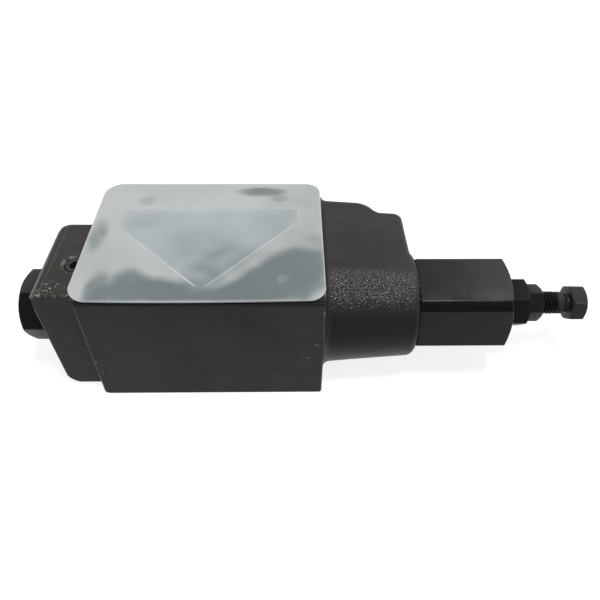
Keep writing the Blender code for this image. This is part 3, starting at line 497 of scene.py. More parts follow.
def oilAndShadeShare(angles, shape):
    # How dark the surface is at each angle, from oil and painted shade: the flats' own shares, and a band of
    # painted dark reflection that starts below one corner
    turn = math.radians(shape["turn"])
    share = np.array(shape["oilAndShade"])[np.floor((angles - turn) / flatTurn).astype(int) % 6]
    if "band" in shape:
        corner, width, amount, least = shape["band"]
        below = (turn + corner * flatTurn - angles + math.pi) % math.tau - math.pi
        across = math.tan(flatTurn / 2) - np.tan(flatTurn / 2 - np.clip(below, 0.0, flatTurn))
        across *= shape["flats"] / 2
        inBand = (below > 0.002) & (across < width)
        share = np.where(inBand, amount * (least + (1 - least) * across / width), share)
    return share


def hexagonPiece(name, node, shape, before, after, body="valve", side=1, ringed=True):
    # The head lies between a stem or bore before it and rows after it, whose heights count from its far face
    low, high = nodeBox(node)
    near, far = (low[0], high[0]) if side > 0 else (high[0], low[0])
    start = near + side * shape.get("stemLength", 0.0)
    length = abs(far - start)
    shape = {**shape, "length": length}
    angles = hexagonAngles(shape)
    rows = before + hexagonRows(angles, shape) + [(length + height, radius) for height, radius in after]
    path = softCorners(wide(rows, len(angles)), shape.get("soft", 0.2), ringed)
    onHead = isHead(path, shape)
    onCorner = cornerColumns(angles, shape, shape["rounding"] * cornerShare)
    wear = np.maximum(cornerWear(path, ringed), onCorner) * onHead
    if "sheen" in shape:
        flat, amount, least = shape["sheen"]  # painted sheen, most near the flat's first corner and far end
        across = (angles - math.radians(shape["turn"])) / flatTurn % 6 - flat
        share = np.where((across >= 0) & (across < 1), 1 - across, 0.0)
        share = share * (least + (1 - least) * ramp(path[..., 0], 0.0, length))
        wear = np.maximum(wear, amount * share * onHead)
    attributes = {"edge": wear, "oilAndShade": oilAndShadeShare(angles, shape) * onHead}
    mesh = putMesh(name, aroundSpool(path, angles, start, side), ringed, attributes)
    return putPiece(name, mesh, "black_steel", body, node)


headSeal = {"wire": 1.0, "smallWire": 0.9, "undercut": 1.0}


def seatOf(shape, wire):
    # Radii and depth of the seat for the ring under a head: undercut, ring, mouth, depth
    undercut = shape["stemRadius"] - headSeal["undercut"]
    ring = undercut + seatGap + wire
    return undercut, ring, ring + wire + seatGap, 2 * wire + seatGap


def stemRows(shape, wire, hole, chamfer=0.6):
    # The stem below a head, from its far end up to the head, with an undercut for its seal
    radius, length = pick(shape, "stemRadius", "stemLength")
    undercut, _, _, depth = seatOf(shape, wire)
    relief = depth + 2 * seatGap
    rows = [(-length, hole), (-length, radius - chamfer), (-length + chamfer, radius)]
    return rows + [(-relief, radius), (-relief, undercut), (0.0, undercut)]


endPlug = {
    "flats": 26.5,
    "turn": 34.5,
    "rounding": 0.5,
    "chamfers": (False, True),
    # the flats towards the bottom front are darker with painted shade, the rest with oil
    "oilAndShade": (0.3, 0.3, 0.3, 1.0, 0.75, 0.2),
    "stemRadius": 10.0,
    "stemLength": 7.5,
    "pole": 0.5,  # the radius of the small ring next to each pole
}


def makeEndPlug():
    stem = stemRows(endPlug, headSeal["wire"], endPlug["pole"])
    hexagonPiece("endPlug", "end_plug", endPlug, stem, [(0.0, endPlug["pole"])], side=-1, ringed=False)


gland = {
    "flats": 19.0,
    "turn": 22.6,
    "rounding": 0.35,
    "chamfers": (True, True),
    "oilAndShade": (0.7, 0.7, 0.7, 0.7, 0.7, 0.75),
    "stemRadius": 7.0,
    "stemLength": 6.5,
    "hole": 5.2,
    "holeChamfer": 0.6,
}


def makeGland():
    hole, chamfer = pick(gland, "hole", "holeChamfer")
    stem = stemRows(gland, headSeal["smallWire"], hole)
    hexagonPiece("glandNut", "gland_nut", gland, stem, [(0.0, hole + chamfer), (-chamfer, hole)])


housing = {
    "flats": 36.0,
    "turn": 18.2,
    "rounding": 0.8,
    "chamfers": (False, True),
    "soft": 0.3,
    "columns": 61,
    # darker on the flats facing back and down
    "oilAndShade": (0.0, 0.2, 0.2, 0.2, 0.0, 0.0),
    "band": (5, 4.9, 0.95, 0.72),  # corner and width of the band of painted dark reflection, its share, and what of that it starts with
    "sheen": (5, 0.8, 0.45),  # flat and share of the painted sheen, and what of that is left at the near end
    "stemRadius": 14.9,
    "stemLength": 18.0,
    "bore": 11.8,
    "endWall": 8.0,
}


def makeHousing():
    _, _, mouth, depth = seatOf(gland, headSeal["smallWire"])
    throat, wall, hole = gland["stemRadius"] + seatGap, housing["endWall"], housing["bore"]
    stem = stemRows(housing, headSeal["wire"], hole)
    inside = [(0.0, mouth), (-depth, mouth), (-depth, throat), (-wall, throat), (-wall, hole)]
    hexagonPiece("springHousing", "spring_housing", housing, stem, inside)


lockNut = {
    "flats": 14.0,
    "turn": 45.2,
    "rounding": 0.3,
    "chamfers": (True, True),
    "oilAndShade": (0.5, 0.5, 0.5, 0.5, 0.6, 0.5),
    "hole": 5.2,
    "holeChamfer": 0.6,
}


def makeLockNut():
    hole, chamfer = pick(lockNut, "hole", "holeChamfer")
    before, after = [(chamfer, hole), (0.0, hole + chamfer)], [(0.0, hole + chamfer), (-chamfer, hole)]
    hexagonPiece("lockNut", "lock_nut", lockNut, before, after, body="nut")


screw = {
    "flats": 14.0,
    "turn": 13.2,
    "rounding": 0.3,
    "chamfers": (True, True),
    "length": 6.4,
    "crest": 4.9,
    "root": 4.3,
    "pitch": 1.5,
    "neckRadius": 4.75,
    "neckLength": 3.2,
    "undercutRadius": 4.1,
    "undercutLength": 1.6,
    "tipRadius": 3.4,
    "tipLength": 3.0,
    "tipChamfer": 0.6,
    "rowsPerTurn": 12,
    "flank": (0.12, 0.84),  # where it starts and ends, as shares of half a pitch
    "shoulder": 0.3,
    "undercutRun": 0.6,
    "cornerSlack": 0.04,
    "soft": (0.15, 0.18),  # on tip and head
    "pole": 0.4,
    "threadWear": 0.1,
    "threadOil": 0.8,
}


def makeScrew():
    # The thread's radius falls from crest to root and back over each pitch; the place in the pitch is the
    # height over the pitch plus the angle over a full turn, which makes the thread right-handed
    low, high = nodeBox("adjusting_screw")
    start = high[0] - screw["length"]
    pitch, root, chamfer, pole = pick(screw, "pitch", "root", "tipChamfer", "pole")
    neck, undercut, under = screw["neckRadius"], screw["undercutRadius"], -screw["undercutLength"]
    tip, tipRadius = low[0] - start, screw["tipRadius"]
    threadStart, threadEnd = tip + screw["tipLength"], under - screw["neckLength"]
    angles = hexagonAngles(screw)
    count = int((threadEnd - threadStart) / pitch * screw["rowsPerTurn"])
    height = np.linspace(threadStart, threadEnd, count)[:, None]
    inPitch = (height / pitch + angles / math.tau) % 1.0
    ridge = ramp(np.abs(2 * inPitch - 1), *screw["flank"])
    runOut = ramp(np.minimum(height - threadStart, threadEnd - height), 0.0, pitch)
    outerHalf = height > (threadStart + threadEnd) / 2
    fade, plain = np.where(outerHalf, runOut, 1.0), np.where(outerHalf, neck, root)
    thread = together(height, plain + (root + (screw["crest"] - root) * ridge - plain) * fade)
    lead = [(tip, pole), (tip, tipRadius - chamfer), (tip + chamfer, tipRadius)]
    lead += [(threadStart - screw["shoulder"], tipRadius), (threadStart, root)]
    head = [(threadEnd, neck), (under - screw["undercutRun"], neck), (under, undercut), (0.0, undercut)]
    head += hexagonRows(angles, screw) + [(screw["length"], pole)]
    first, last = (softCorners(wide(rows, len(angles)), soft) for rows, soft in zip((lead, head), screw["soft"]))
    path = np.concatenate([first, thread, last])
    threadRows, headRows = slice(len(first), len(first) + count), slice(len(first) + count, None)
    wear, oilAndShade = np.zeros(path.shape[:2]), np.zeros(path.shape[:2])
    wear[headRows] = cornerWear(last)
    wear = np.maximum(wear, cornerColumns(angles, screw, screw["cornerSlack"])) * isHead(path, screw)
    wear[threadRows] = screw["threadWear"] * ridge * fade
    oilAndShade[threadRows] = screw["threadOil"]
    mesh = putMesh("adjustingScrew", aroundSpool(path, angles, start), False, {"edge": wear, "oilAndShade": oilAndShade})
    putPiece("adjustingScrew", mesh, "black_steel", "screw", "adjusting_screw")


makeEndPlug()
makeHousing()
makeGland()
makeLockNut()
makeScrew()
print("hexagon pieces made")


def cutWith(made, cutterMesh):
    # Cuts a closed mesh out of a piece and keeps the result as the piece's own mesh
    cutter = bpy.data.objects.new(cutterMesh.name, cutterMesh)
    bpy.context.scene.collection.objects.link(cutter)
    step = made.modifiers.new("cut", "BOOLEAN")
    step.operation = "DIFFERENCE"
    step.solver = "MANIFOLD"
    step.object = cutter
    graph = bpy.context.evaluated_depsgraph_get()
    graph.update()
    cut = bpy.data.meshes.new_from_object(made.evaluated_get(graph))
    made.modifiers.clear()
    made.data = cut
    bpy.data.objects.remove(cutter)
    cut.shade_smooth()
    cut.set_sharp_from_angle(angle=math.radians(35.0))


spool = {
    "radius": 8.0,
    "waist": 5.0,
    "galleryX": (-7.5, 7.5),
    "galleryLength": 6.0,
    "groove": 0.5,
    "grooveSpacing": 8.0,
    "bore": 3.8,
    "holeRadius": 1.2,
    "chamfer": 0.6,
    "pole": 0.4,
}


def grooveRows(start):
    rows = []
    radius, groove = pick(spool, "radius", "groove")
    for i in (1, 2, 3):
        middle = start + i * spool["grooveSpacing"]
        rows += [(middle - groove, radius), (middle, radius - groove), (middle + groove, radius)]
    return rows


def makeSpool():
    radius, waist, hollow, chamfer, pole = pick(spool, "radius", "waist", "bore", "chamfer", "pole")
    length = spoolHigh[0] - spoolLow[0]
    waistStart = spool["galleryX"][0] - spoolLow[0]
    waistEnd = spool["galleryX"][1] + spool["galleryLength"] / 2 - spoolLow[0]
    boreEnd = (waistStart + waistEnd) / 2
    rows = [(boreEnd, pole), (boreEnd, hollow), (0.0, hollow), (0.0, radius - chamfer), (chamfer, radius)]
    rows += grooveRows(waistStart / 4) + [(waistStart, radius), (waistStart, waist)]
    rows += [(waistEnd, waist), (waistEnd, radius)] + grooveRows(waistEnd)
    rows += [(length - chamfer, radius), (length, radius - chamfer), (length, pole)]
    made = turnedPiece("mainSpool", "main_spool", rows, spoolLow[0], "spool", soft=0.08)
    turn, reach = evenAngles(24), radius + 1.0
    ring = spool["holeRadius"] * together(np.cos(turn), 0.0, np.sin(turn))
    rows = ((0.1, -reach), (1.0, -reach), (1.0, reach), (0.1, reach))
    drill = np.stack([ring * size + [0.0, y, 0.0] for size, y in rows])
    cutWith(made, putMesh("sensingDrill", drill + [spoolLow[0] + boreEnd - hollow, spoolY, spoolZ], False))


sensingPiston = {"radius": 3.5, "chamfer": 0.6, "pole": 0.3}
springGuide = {"nose": 7.45, "noseChamfer": 0.6, "flange": 12.0, "thickness": 3.0, "chamfer": 0.3, "hole": 2.0}
plunger = {
    "nose": 7.45,
    "noseLength": 6.0,
    "chamfer": 0.6,
    "radius": 11.5,
    "edge": 0.3,
    "groove": 9.4,
    "grooveEnds": (3.8, 6.2),
    "recess": 3.7,
    "recessDepth": 2.0,
    "pole": 0.4,
}


def makeSensingPiston():
    low, high = nodeBox("sensing_piston")
    length, (radius, chamfer, pole) = high[0] - low[0], pick(sensingPiston, "radius", "chamfer", "pole")
    rows = [(0.0, pole), (0.0, radius - chamfer), (chamfer, radius)]
    rows += [(length - chamfer, radius), (length, radius - chamfer), (length, pole)]
    turnedPiece("sensingPiston", "sensing_piston", rows, low[0], "valve", columns=48)


def makeSpringGuide():
    low, high = nodeBox("spring_guide")
    nose, cut, flange, thick = pick(springGuide, "nose", "noseChamfer", "flange", "thickness")
    edge, hole = pick(springGuide, "chamfer", "hole")
    length = high[0] - low[0]
    rows = [(length, hole), (0.0, hole), (0.0, flange - edge), (edge, flange), (thick - edge, flange)]
    rows += [(thick, flange - edge), (thick, nose), (length - cut, nose), (length, nose - cut)]
    turnedPiece("springGuide", "spring_guide", rows, low[0], "spool", ringed=True)


def makePlunger():
    low, high = nodeBox("adjuster_plunger")
    nose, before, cut, radius, edge = pick(plunger, "nose", "noseLength", "chamfer", "radius", "edge")
    groove, (first, last), recess, depth = pick(plunger, "groove", "grooveEnds", "recess", "recessDepth")
    length, pole = high[0] - low[0] - before, plunger["pole"]
    rows = [(-before, pole), (-before, nose - cut), (-before + cut, nose), (0.0, nose), (0.0, radius - edge)]
    rows += [(edge, radius), (first, radius), (first, groove), (last, groove), (last, radius)]
    rows += [(length - cut, radius), (length, radius - cut), (length, recess)]
    rows += [(length - depth, recess), (length - depth, pole)]
    turnedPiece("adjusterPlunger", "adjuster_plunger", rows, low[0] + before, "plunger")


def makeRing(name, node, body, radius, wire, upright=False):
    # A torus: the section's circle is carried round the ring's own circle
    low, high = nodeBox(node)
    around, section = np.meshgrid(evenAngles(72), evenAngles(16), indexing="ij")
    out, along = radius + wire * np.cos(section), wire * np.sin(section)
    if upright:
        grid = together(out * np.cos(around), out * np.sin(around), along)
    else:
        grid = together(along, out * np.sin(around), out * np.cos(around))
    putPiece(name, putMesh(name, grid + (low + high) / 2), "seal_rubber", body, node)


faceSeal = {"radius": 7.0, "wire": 0.89}
plungerWire = 0.9


def makeRings():
    radius, wire = pick(faceSeal, "radius", "wire")
    for port in ("p", "a", "b", "t", "t1"):
        makeRing("faceSeal_" + port, "face_seal_" + port, "valve", radius, wire, upright=True)
    for name, node, shape, wire in (
        ("endPlugSeal", "end_plug_seal", endPlug, headSeal["wire"]),
        ("housingSeal", "housing_seal", housing, headSeal["wire"]),
        ("glandSeal", "gland_seal", gland, headSeal["smallWire"]),
    ):
        makeRing(name, node, "valve", seatOf(shape, wire)[1], wire)
    makeRing("plungerSeal", "plunger_seal", "plunger", plunger["radius"] - plungerWire, plungerWire)


spring = {
    "wire": 1.75,
    "radius": 9.5,
    "turns": 9,
    "pointsPerTurn": 40,
    "ground": 0.2,
    "tipShare": 0.6,  # each end of the wire narrows to this share over its last length
    "tipLength": 0.25,
    "splitTurn": 2.9,
}


def makeSpring():
    # A helix with one closed turn at each end. The section lies across the helix's direction, and both ends
    # are ground flat, so no point passes the seats
    low, high = nodeBox("main_spring")
    wire, turns, perTurn = pick(spring, "wire", "turns", "pointsPerTurn")
    turn = np.linspace(0.0, turns, turns * perTurn + 1)
    closedPitch = 2 * wire + seatGap
    rise = high[0] - low[0] - 2 * wire - 2 * closedPitch
    closedTurns = np.minimum(turn, 1.0) + np.maximum(turn - turns + 1, 0.0)
    x = low[0] + wire + closedPitch * closedTurns + rise * ramp(turn, 1, turns - 1)
    outward = together(0.0, np.sin(math.tau * turn), -np.cos(math.tau * turn))
    middle = together(x, spoolY, spoolZ) + spring["radius"] * outward
    forward = np.gradient(middle, axis=0)
    forward /= np.linalg.norm(forward, axis=1, keepdims=True)
    across = np.cross(forward, outward)
    section = evenAngles(18)[:, None]
    offset = outward[:, None, :] * np.cos(section) + across[:, None, :] * np.sin(section)
    grid = middle[:, None, :] + wire * offset
    share, length = pick(spring, "tipShare", "tipLength")
    first = middle[0] + (grid[:1] - middle[0]) * share - forward[0] * length
    last = middle[-1] + (grid[-1:] - middle[-1]) * share + forward[-1] * length
    grid = np.concatenate([first, grid, last])
    grid[..., 0] = np.clip(grid[..., 0], low[0] + spring["ground"], high[0] - spring["ground"])

    # The spring is made in two parts, split after a given turn, and each part is baked where it stands
    split = 1 + int(spring["splitTurn"] * perTurn)
    closed = 2 * wire + closedPitch / 2
    marks = [low[0] + closed, middle[split - 1][0], high[0] - closed]
    for name, rows, first, second, start, end in (
        ("mainSpringStart", grid[: split + 1], "spool", "valve", marks[0], marks[1]),
        ("mainSpringEnd", grid[split:], "valve", "plunger", marks[1], marks[2]),
    ):
        made = putPiece(name, putMesh(name, rows, False), "spring_steel", None, "main_spring")
        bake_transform(made)


makeSpool()
makeSensingPiston()
makeSpringGuide()
makePlunger()
makeRings()
makeSpring()
print("inside pieces made")


cast = {
    "left": -46.25,  # main block
    "right": 46.25,
    "corner": 1.0,
    "edge": 0.45,
    "footRounds": (3.0, 1.2),
    "endFront": -29.9,  # end block
    "endBack": 12.9,
    "endBottom": 0.9,
    "endTop": 54.1,
    "endRound": 7.5,
    "endBackRound": 7.2,
    "endTopRound": 2.4,
    "endSharp": 0.9,
    "endFillet": 1.2,
    "endLean": 0.03,
    "leanHeight": 20.0,
    "leanRun": 6.0,
    "seatEdge": (15.6, 18.6),
    "overlap": 10.0,
    "rootRadius": 24.8,  # barrel
    "endRadius": 22.2,
    "barrelLength": 36.0,
    "bossRound": 3.0,
    "fillet": 3.0,
    "wingDepth": 41.9,
    "wingStepDepth": 35.3,
    "wingRun": 9.1,
    "wingLand": 10.9,
    "wingPast": 0.6,
    "wingCorner": 4.0,
    "wingEdge": 2.6,
    "wingFillet": 1.2,
    "wave": 0.09,
    "waveMargin": 2.5,  # the waves fade out over this towards the machined faces
    "flatFrom": (60.0, 62.0),  # and over this towards both end faces,
    "flatInside": (20.0, 24.0),  # up to this far from the axis
}

left, right = cast["left"], cast["right"]
barrelEnd = right + cast["barrelLength"]
wingEnd = barrelEnd + cast["wingPast"]
sweepStart = barrelEnd - cast["wingLand"] - cast["wingRun"]
wingFall = cast["wingDepth"] - cast["wingStepDepth"]
wingSweep = (cast["wingRun"] ** 2 + wingFall**2) / (2 * wingFall)
blockBox = (castLow[1], castHigh[1], 0.0, castHigh[2])  # front, back, bottom and top
endBox = pick(cast, "endFront", "endBack", "endBottom", "endTop")


def roundMeet(a, b, radius):
    # The overlap of two forms, with its outer edge rounded
    p, q = a + radius, b + radius
    return np.minimum(np.maximum(p, q), 0.0) + np.hypot(np.maximum(p, 0.0), np.maximum(q, 0.0)) - radius


def filletJoin(a, b, radius):
    # Two forms joined with a round fillet between them
    p, q = np.maximum(radius - a, 0.0), np.maximum(radius - b, 0.0)
    return np.maximum(radius, np.minimum(a, b)) - np.hypot(p, q)


def slab(a, b, low, high, radii):
    # Distance to a rectangle with a radius at each corner, in the order low low, high low, high high, low high
    u, v = a - (low[0] + high[0]) / 2, b - (low[1] + high[1]) / 2
    radius = np.where(u < 0, np.where(v < 0, radii[0], radii[3]), np.where(v < 0, radii[1], radii[2]))
    return roundMeet(np.abs(u) - (high[0] - low[0]) / 2, np.abs(v) - (high[1] - low[1]) / 2, radius)


def boxForm(x, y, z, ends, box, above, front, end):
    # A box with its own corner radii seen from above, from the front and from its end
    low, high = (ends[0], box[0], box[2]), (ends[1], box[1], box[3])
    plan = slab(x, y, low[:2], high[:2], above)
    return np.maximum(plan, np.maximum(slab(x, z, low[::2], high[::2], front), slab(y, z, low[1:], high[1:], end)))


def taperRadius(x):
    lean = (cast["rootRadius"] - cast["endRadius"]) / cast["barrelLength"]
    return cast["rootRadius"] - lean * (x - right)


def castDistance(points):
    # Distance to the casting without its bore: block, end block, barrel and wing, then low waves where it is as
    # cast. Each form's distance is below 0 inside it
    x, y, z = np.moveaxis(points, -1, 0)
    corner, edge, sharp, inner = cast["corner"], cast["edge"], cast["endSharp"], right - cast["overlap"]
    feet = (*cast["footRounds"], edge, edge)
    block = boxForm(x, y, z, (left, right), blockBox, [corner] * 4, feet, [edge] * 4)
    # The end face is flat where the plug seats and leans out a little towards its top beyond that
    fromAxis = np.hypot(y - spoolY, z - spoolZ)
    offSeat, offBlock = ramp(fromAxis, *cast["seatEdge"]), ramp(left - x, 0.0, cast["leanRun"])
    leaning = x + cast["endLean"] * (z - cast["leanHeight"]) * offSeat * offBlock
    above = (sharp, sharp, sharp, cast["endBackRound"])
    front = (cast["endRound"], sharp, sharp, cast["endTopRound"])
    endBlock = boxForm(leaning, y, z, (castLow[0], left + cast["overlap"]), endBox, above, front, [sharp] * 4)
    taper = taperRadius(x)
    barrel = roundMeet(fromAxis - taper, x - castHigh[0], cast["bossRound"])
    barrel = np.maximum(barrel, inner - x)
    low, small = (inner, spoolY - 2.0), 0.1
    full = (sweepStart + wingSweep, spoolY + cast["wingDepth"])
    full = slab(x, y, low, full, (small, small, wingSweep, small))
    stepped = (wingEnd, spoolY + cast["wingStepDepth"])
    stepped = slab(x, y, low, stepped, (small, small, cast["wingCorner"], small))
    plan = filletJoin(full, stepped, cast["wingFillet"])
    wing = roundMeet(plan, np.abs(z - spoolZ) - taper, cast["wingEdge"])
    whole = filletJoin(block, np.minimum(barrel, wing), cast["fillet"])
    whole = filletJoin(whole, endBlock, cast["endFillet"])
    swell = np.sin(x / 7.3 + 1.1 * np.sin(y / 9.0)) + np.sin(y / 6.1 + 1.3 * np.sin(z / 8.0))
    swell = swell + np.sin(z / 8.7 + x / 11.0)
    machined = ramp(np.minimum(z, castHigh[2] - z), 0.0, cast["waveMargin"])
    onSeat = ramp(np.abs(x), *cast["flatFrom"]) * (1.0 - ramp(fromAxis, *cast["flatInside"]))
    return whole + cast["wave"] / 3 * swell * machined * (1.0 - onSeat)


def distancePairs(points, step):
    # For each axis, the distances a step ahead of every point and a step behind it
    for shift in np.eye(3) * step:
        yield castDistance(points + shift), castDistance(points - shift)


def ontoCasting(points, rounds=9, step=0.05):
    # Newton steps along the gradient, until every point lies on the casting's surface
    for _ in range(rounds):
        slope = together(*((ahead - behind) / (2 * step) for ahead, behind in distancePairs(points, step)))
        size = np.maximum((slope**2).sum(axis=-1), 0.15)
        move = np.clip(castDistance(points) / size, -2.0, 2.0)
        points = points - move[..., None] * slope
    return points


sideSteps, cornerSteps = 22, 7


def sectionOutline(box, corner, inset=0.0, evenness=0.35):
    # Points round a rounded rectangle, with as many on each side and corner whatever its size, and closer
    # together towards the corners. They run up the front, back over the top, down the back and forward below
    front, back, bottom, top = (edge + inset * sign for edge, sign in zip(box, (1, -1, 1, -1)))
    even = np.linspace(0.0, 1.0, sideSteps + 2)[1:-1]
    share = evenness * even + (1 - evenness) * (0.5 - 0.5 * np.cos(math.pi * even))
    turn, c, pieces = np.linspace(0.0, math.pi / 2, cornerSteps), corner, []
    for start, end, middle, first in (
        ((front, bottom + c), (front, top - c), (front + c, top - c), math.pi),
        ((front + c, top), (back - c, top), (back - c, top - c), math.pi / 2),
        ((back, top - c), (back, bottom + c), (back - c, bottom + c), 0.0),
        ((back - c, bottom), (front + c, bottom), (front + c, bottom + c), -math.pi / 2),
    ):
        pieces.append(start + (np.array(end) - start) * share[:, None])
        pieces.append(middle + c * together(np.cos(first - turn), np.sin(first - turn)))
    return np.concatenate(pieces)


def placed(x, outline):
    return together(x, outline[:, 0], outline[:, 1])


def anglesRound(outline):
    return np.unwrap(np.arctan2(outline[:, 1] - spoolZ, outline[:, 0] - spoolY))


def circleLike(outline, radius, evenness=0.5):
    # A circle round the spool's axis whose points lie in nearly the same directions as the outline's
    angle = anglesRound(outline)
    even = angle[0] + (angle[-1] - angle[0]) * np.linspace(0.0, 1.0, len(angle))
    return roundSpool(0.0, radius, evenness * even + (1 - evenness) * angle)[:, 1:]


def armOutline(x):
    # Section of barrel and wing: the circle in front, and the wing's rectangle behind
    radius = taperRadius(x)
    past = min(max(x - sweepStart, 0.0), cast["wingRun"])
    back = spoolY + cast["wingDepth"] - wingSweep + math.sqrt(wingSweep**2 - past**2)
    box = sectionOutline((spoolY - radius, back, spoolZ - radius, spoolZ + radius), 1.5)
    circle = circleLike(box, radius)
    return np.where(circle[:, :1] < spoolY, circle, box)


def between(first, second, shares):
    # Rows that pass from one row of points to another
    return [first + (second - first) * share for share in shares]


# Distances of the rows from an edge, closer together towards it
edgeSteps = (0.1, 0.4, 0.8, 1.3, 2.0, 2.8, 3.7, 4.8, 6.0)
blockSteps = (0.05, 0.2, 0.5, 0.9)


def castingRows():
    # Rows of start points from the left mouth of the bore over the outside to its right mouth
    endFace, boss = castLow[0], castHigh[0]
    endOutline, blockOutline = sectionOutline(endBox, 1.0), sectionOutline(blockBox, cast["corner"])
    mouth = placed(endFace, circleLike(endOutline, seatOf(endPlug, headSeal["wire"])[2]))
    inner = placed(endFace, sectionOutline(endBox, 1.0, edgeSteps[-1]))
    yield from between(mouth, inner, (0.0, 0.04, 0.35, 0.7))
    for inset in reversed(edgeSteps):
        yield placed(endFace, sectionOutline(endBox, 1.0, inset))
    for step in (*edgeSteps, 8.0, 10.0, 12.0, 13.5, 14.5, 15.1, 15.5, 15.8):
        yield placed(endFace + step, endOutline)
    shares = (0.03, 0.1, 0.22, 0.4, 0.6, 0.78, 0.9)
    yield from between(placed(left, endOutline), placed(left, blockOutline), shares)
    for inset in reversed(blockSteps):
        yield placed(left, sectionOutline(blockBox, cast["corner"] * 0.8, inset))
    steps = [0.05, 0.25, 0.5, 0.8, 1.2, 1.7, 3.0]
    middle = list(np.linspace(left + 5.5, right - 5.5, 24))
    for x in [left + step for step in steps] + middle + [right - step for step in reversed(steps)]:
        yield placed(x, blockOutline)
    for inset in blockSteps:
        yield placed(right, sectionOutline(blockBox, cast["corner"] * 0.8, inset))
    shares = (0.1, 0.25, 0.45, 0.62, 0.75, 0.85, 0.92, 0.97)
    yield from between(placed(right, blockOutline), placed(right, armOutline(right)), shares)
    steps = [0.3, 0.8, 1.4, 2.1, 3.0, 4.2, *np.linspace(6.0, cast["barrelLength"] - 5.0, 16)]
    steps += [wingEnd - right - step for step in (4.0, 3.1, 2.3, 1.6, 1.0, 0.6)]
    for step in steps:
        yield placed(right + step, armOutline(right + step))
    last, after = wingEnd - 0.35, wingEnd + 0.4
    wingOutline = armOutline(last)
    ring = circleLike(wingOutline, cast["endRadius"])
    shares = (0.06, 0.14, 0.24, 0.36, 0.5, 0.64, 0.78, 0.9, 1.0)
    yield from between(placed(last, wingOutline), placed(after, ring), shares)
    for step in (1.6, 1.3, 1.0, 0.7, 0.4, 0.1):
        yield placed(boss - step, ring)
    mouth = seatOf(housing, headSeal["wire"])[2]
    radii = [cast["endRadius"] - inset for inset in (0.2, 0.6, 1.1, 1.7, 2.4, 3.2, 4.4)]
    for radius in radii + [mouth + 0.2, mouth]:
        yield placed(boss, circleLike(ring, radius))


bore = {
    "radius": 8.3,
    "gallery": 11.5,
    "chamber": 13.8,
    "chamberX": 39.75,
    "pilotChamber": 9.0,
    "spoolStart": 1.0,
    "chamfer": 0.6,
}


def boreRows(likeFirst, likeLast):
    # The stepped bore, from the right mouth back to the left one
    plugMouth, plugDepth = seatOf(endPlug, headSeal["wire"])[2:]
    mouth, depth = seatOf(housing, headSeal["wire"])[2:]
    thread, plugThread = housing["stemRadius"] + seatGap, endPlug["stemRadius"] + seatGap
    boss, endFace = castHigh[0], castLow[0]
    threadEnd = boss + seatGap - housing["stemLength"] - 1.0
    plugEnd, plugSeat = endFace + endPlug["stemLength"], endFace + plugDepth
    seat, (radius, chamber, pilot) = left + bore["spoolStart"], pick(bore, "radius", "chamber", "pilotChamber")
    rows = [(boss, mouth), (boss - depth, mouth), (boss - depth, thread), (threadEnd, thread)]
    rows += [(threadEnd, chamber), (bore["chamberX"], chamber), (bore["chamberX"], radius)]
    half = spool["galleryLength"] / 2
    for middle in reversed(spool["galleryX"]):
        rows += [(middle + half, radius), (middle + half, bore["gallery"])]
        rows += [(middle - half, bore["gallery"]), (middle - half, radius)]
    rows += [(seat, radius), (seat - bore["chamfer"], pilot), (plugEnd, pilot)]
    rows += [(plugEnd, plugThread), (plugSeat, plugThread), (plugSeat, plugMouth), (endFace, plugMouth)]
    path = softCorners(wide(rows, len(likeFirst)), 0.12)[1:-1]
    share = np.linspace(0.0, 1.0, len(path))[:, None]
    angle = anglesRound(likeFirst) * (1 - share) + anglesRound(likeLast) * share
    return roundSpool(path[..., 0], path[..., 1], angle)


interface = {
    "bolts": [(-27.0, -23.0), (27.0, -23.0), (-27.0, 23.0), (27.0, 23.0)],
    "boltRadius": 3.5,
    "lines": [(0.0, -16.7), (-10.3, -1.6), (10.3, -1.6)],
    "tanks": [(-23.8, 9.5), (23.8, 9.5)],
    "portRadius": 5.25,
    "mouthDepth": 10.0,
    "seatRadius": 8.19,
    "seatDepth": 1.88,
    "chamfer": 0.25,
    "channelRadius": 4.0,
    "detour": 12.6,
}


def uprightCut(center, profile, columns=48, pole=0.3):
    # A turned cutter with an upright axis, its profile of (height, radius) running upwards
    angles = evenAngles(columns)
    rows = wide([(profile[0][0], pole)] + profile + [(profile[-1][0], pole)], columns)
    height, radius = rows[..., 0], rows[..., 1]
    return together(center[0] + radius * np.cos(angles), center[1] + radius * np.sin(angles), height)


def tubeCut(route, radius, columns=24):
    # A round tube along a route: each section lies across the mean direction of the runs beside it
    route = np.array(route, float)
    forward = np.gradient(route, axis=0)
    forward /= np.linalg.norm(forward, axis=1, keepdims=True)
    side = np.cross(forward, [1.0, 0.0, 0.0])
    side /= np.linalg.norm(side, axis=1, keepdims=True)
    other = np.cross(forward, side)
    angles = evenAngles(columns)[:, None]
    return route[:, None, :] + radius * (side[:, None, :] * np.cos(angles) + other[:, None, :] * np.sin(angles))


def joinedMesh(name, grids):
    # Several closed surfaces that don't touch, in one mesh
    points, faces = np.empty((0, 3)), []
    for grid in grids:
        more, parts = closedSurface(grid, False)
        faces += [part + len(points) for part in parts]
        points = np.vstack([points, more])
    return newMesh(name, points, faces)


pilotPlug = {
    "center": (-50.95, -12.2),
    "radius": 3.8,
    "length": 6.0,
    "sink": 0.5,
    "edge": 0.35,
    "endChamfer": 0.7,
    "socket": {"flats": 4.0, "turn": 0.0, "rounding": 0.15},
    "socketDepth": 3.0,
    "socketChamfer": 0.25,
    "seatChamfer": 0.7,
    "drill": 2.0,
    "poles": (0.15, 0.3),
    "soft": 0.08,
    "faceWear": 0.75,
}
pilotTop = nodeBox("pilot_port_plug")[1][2]


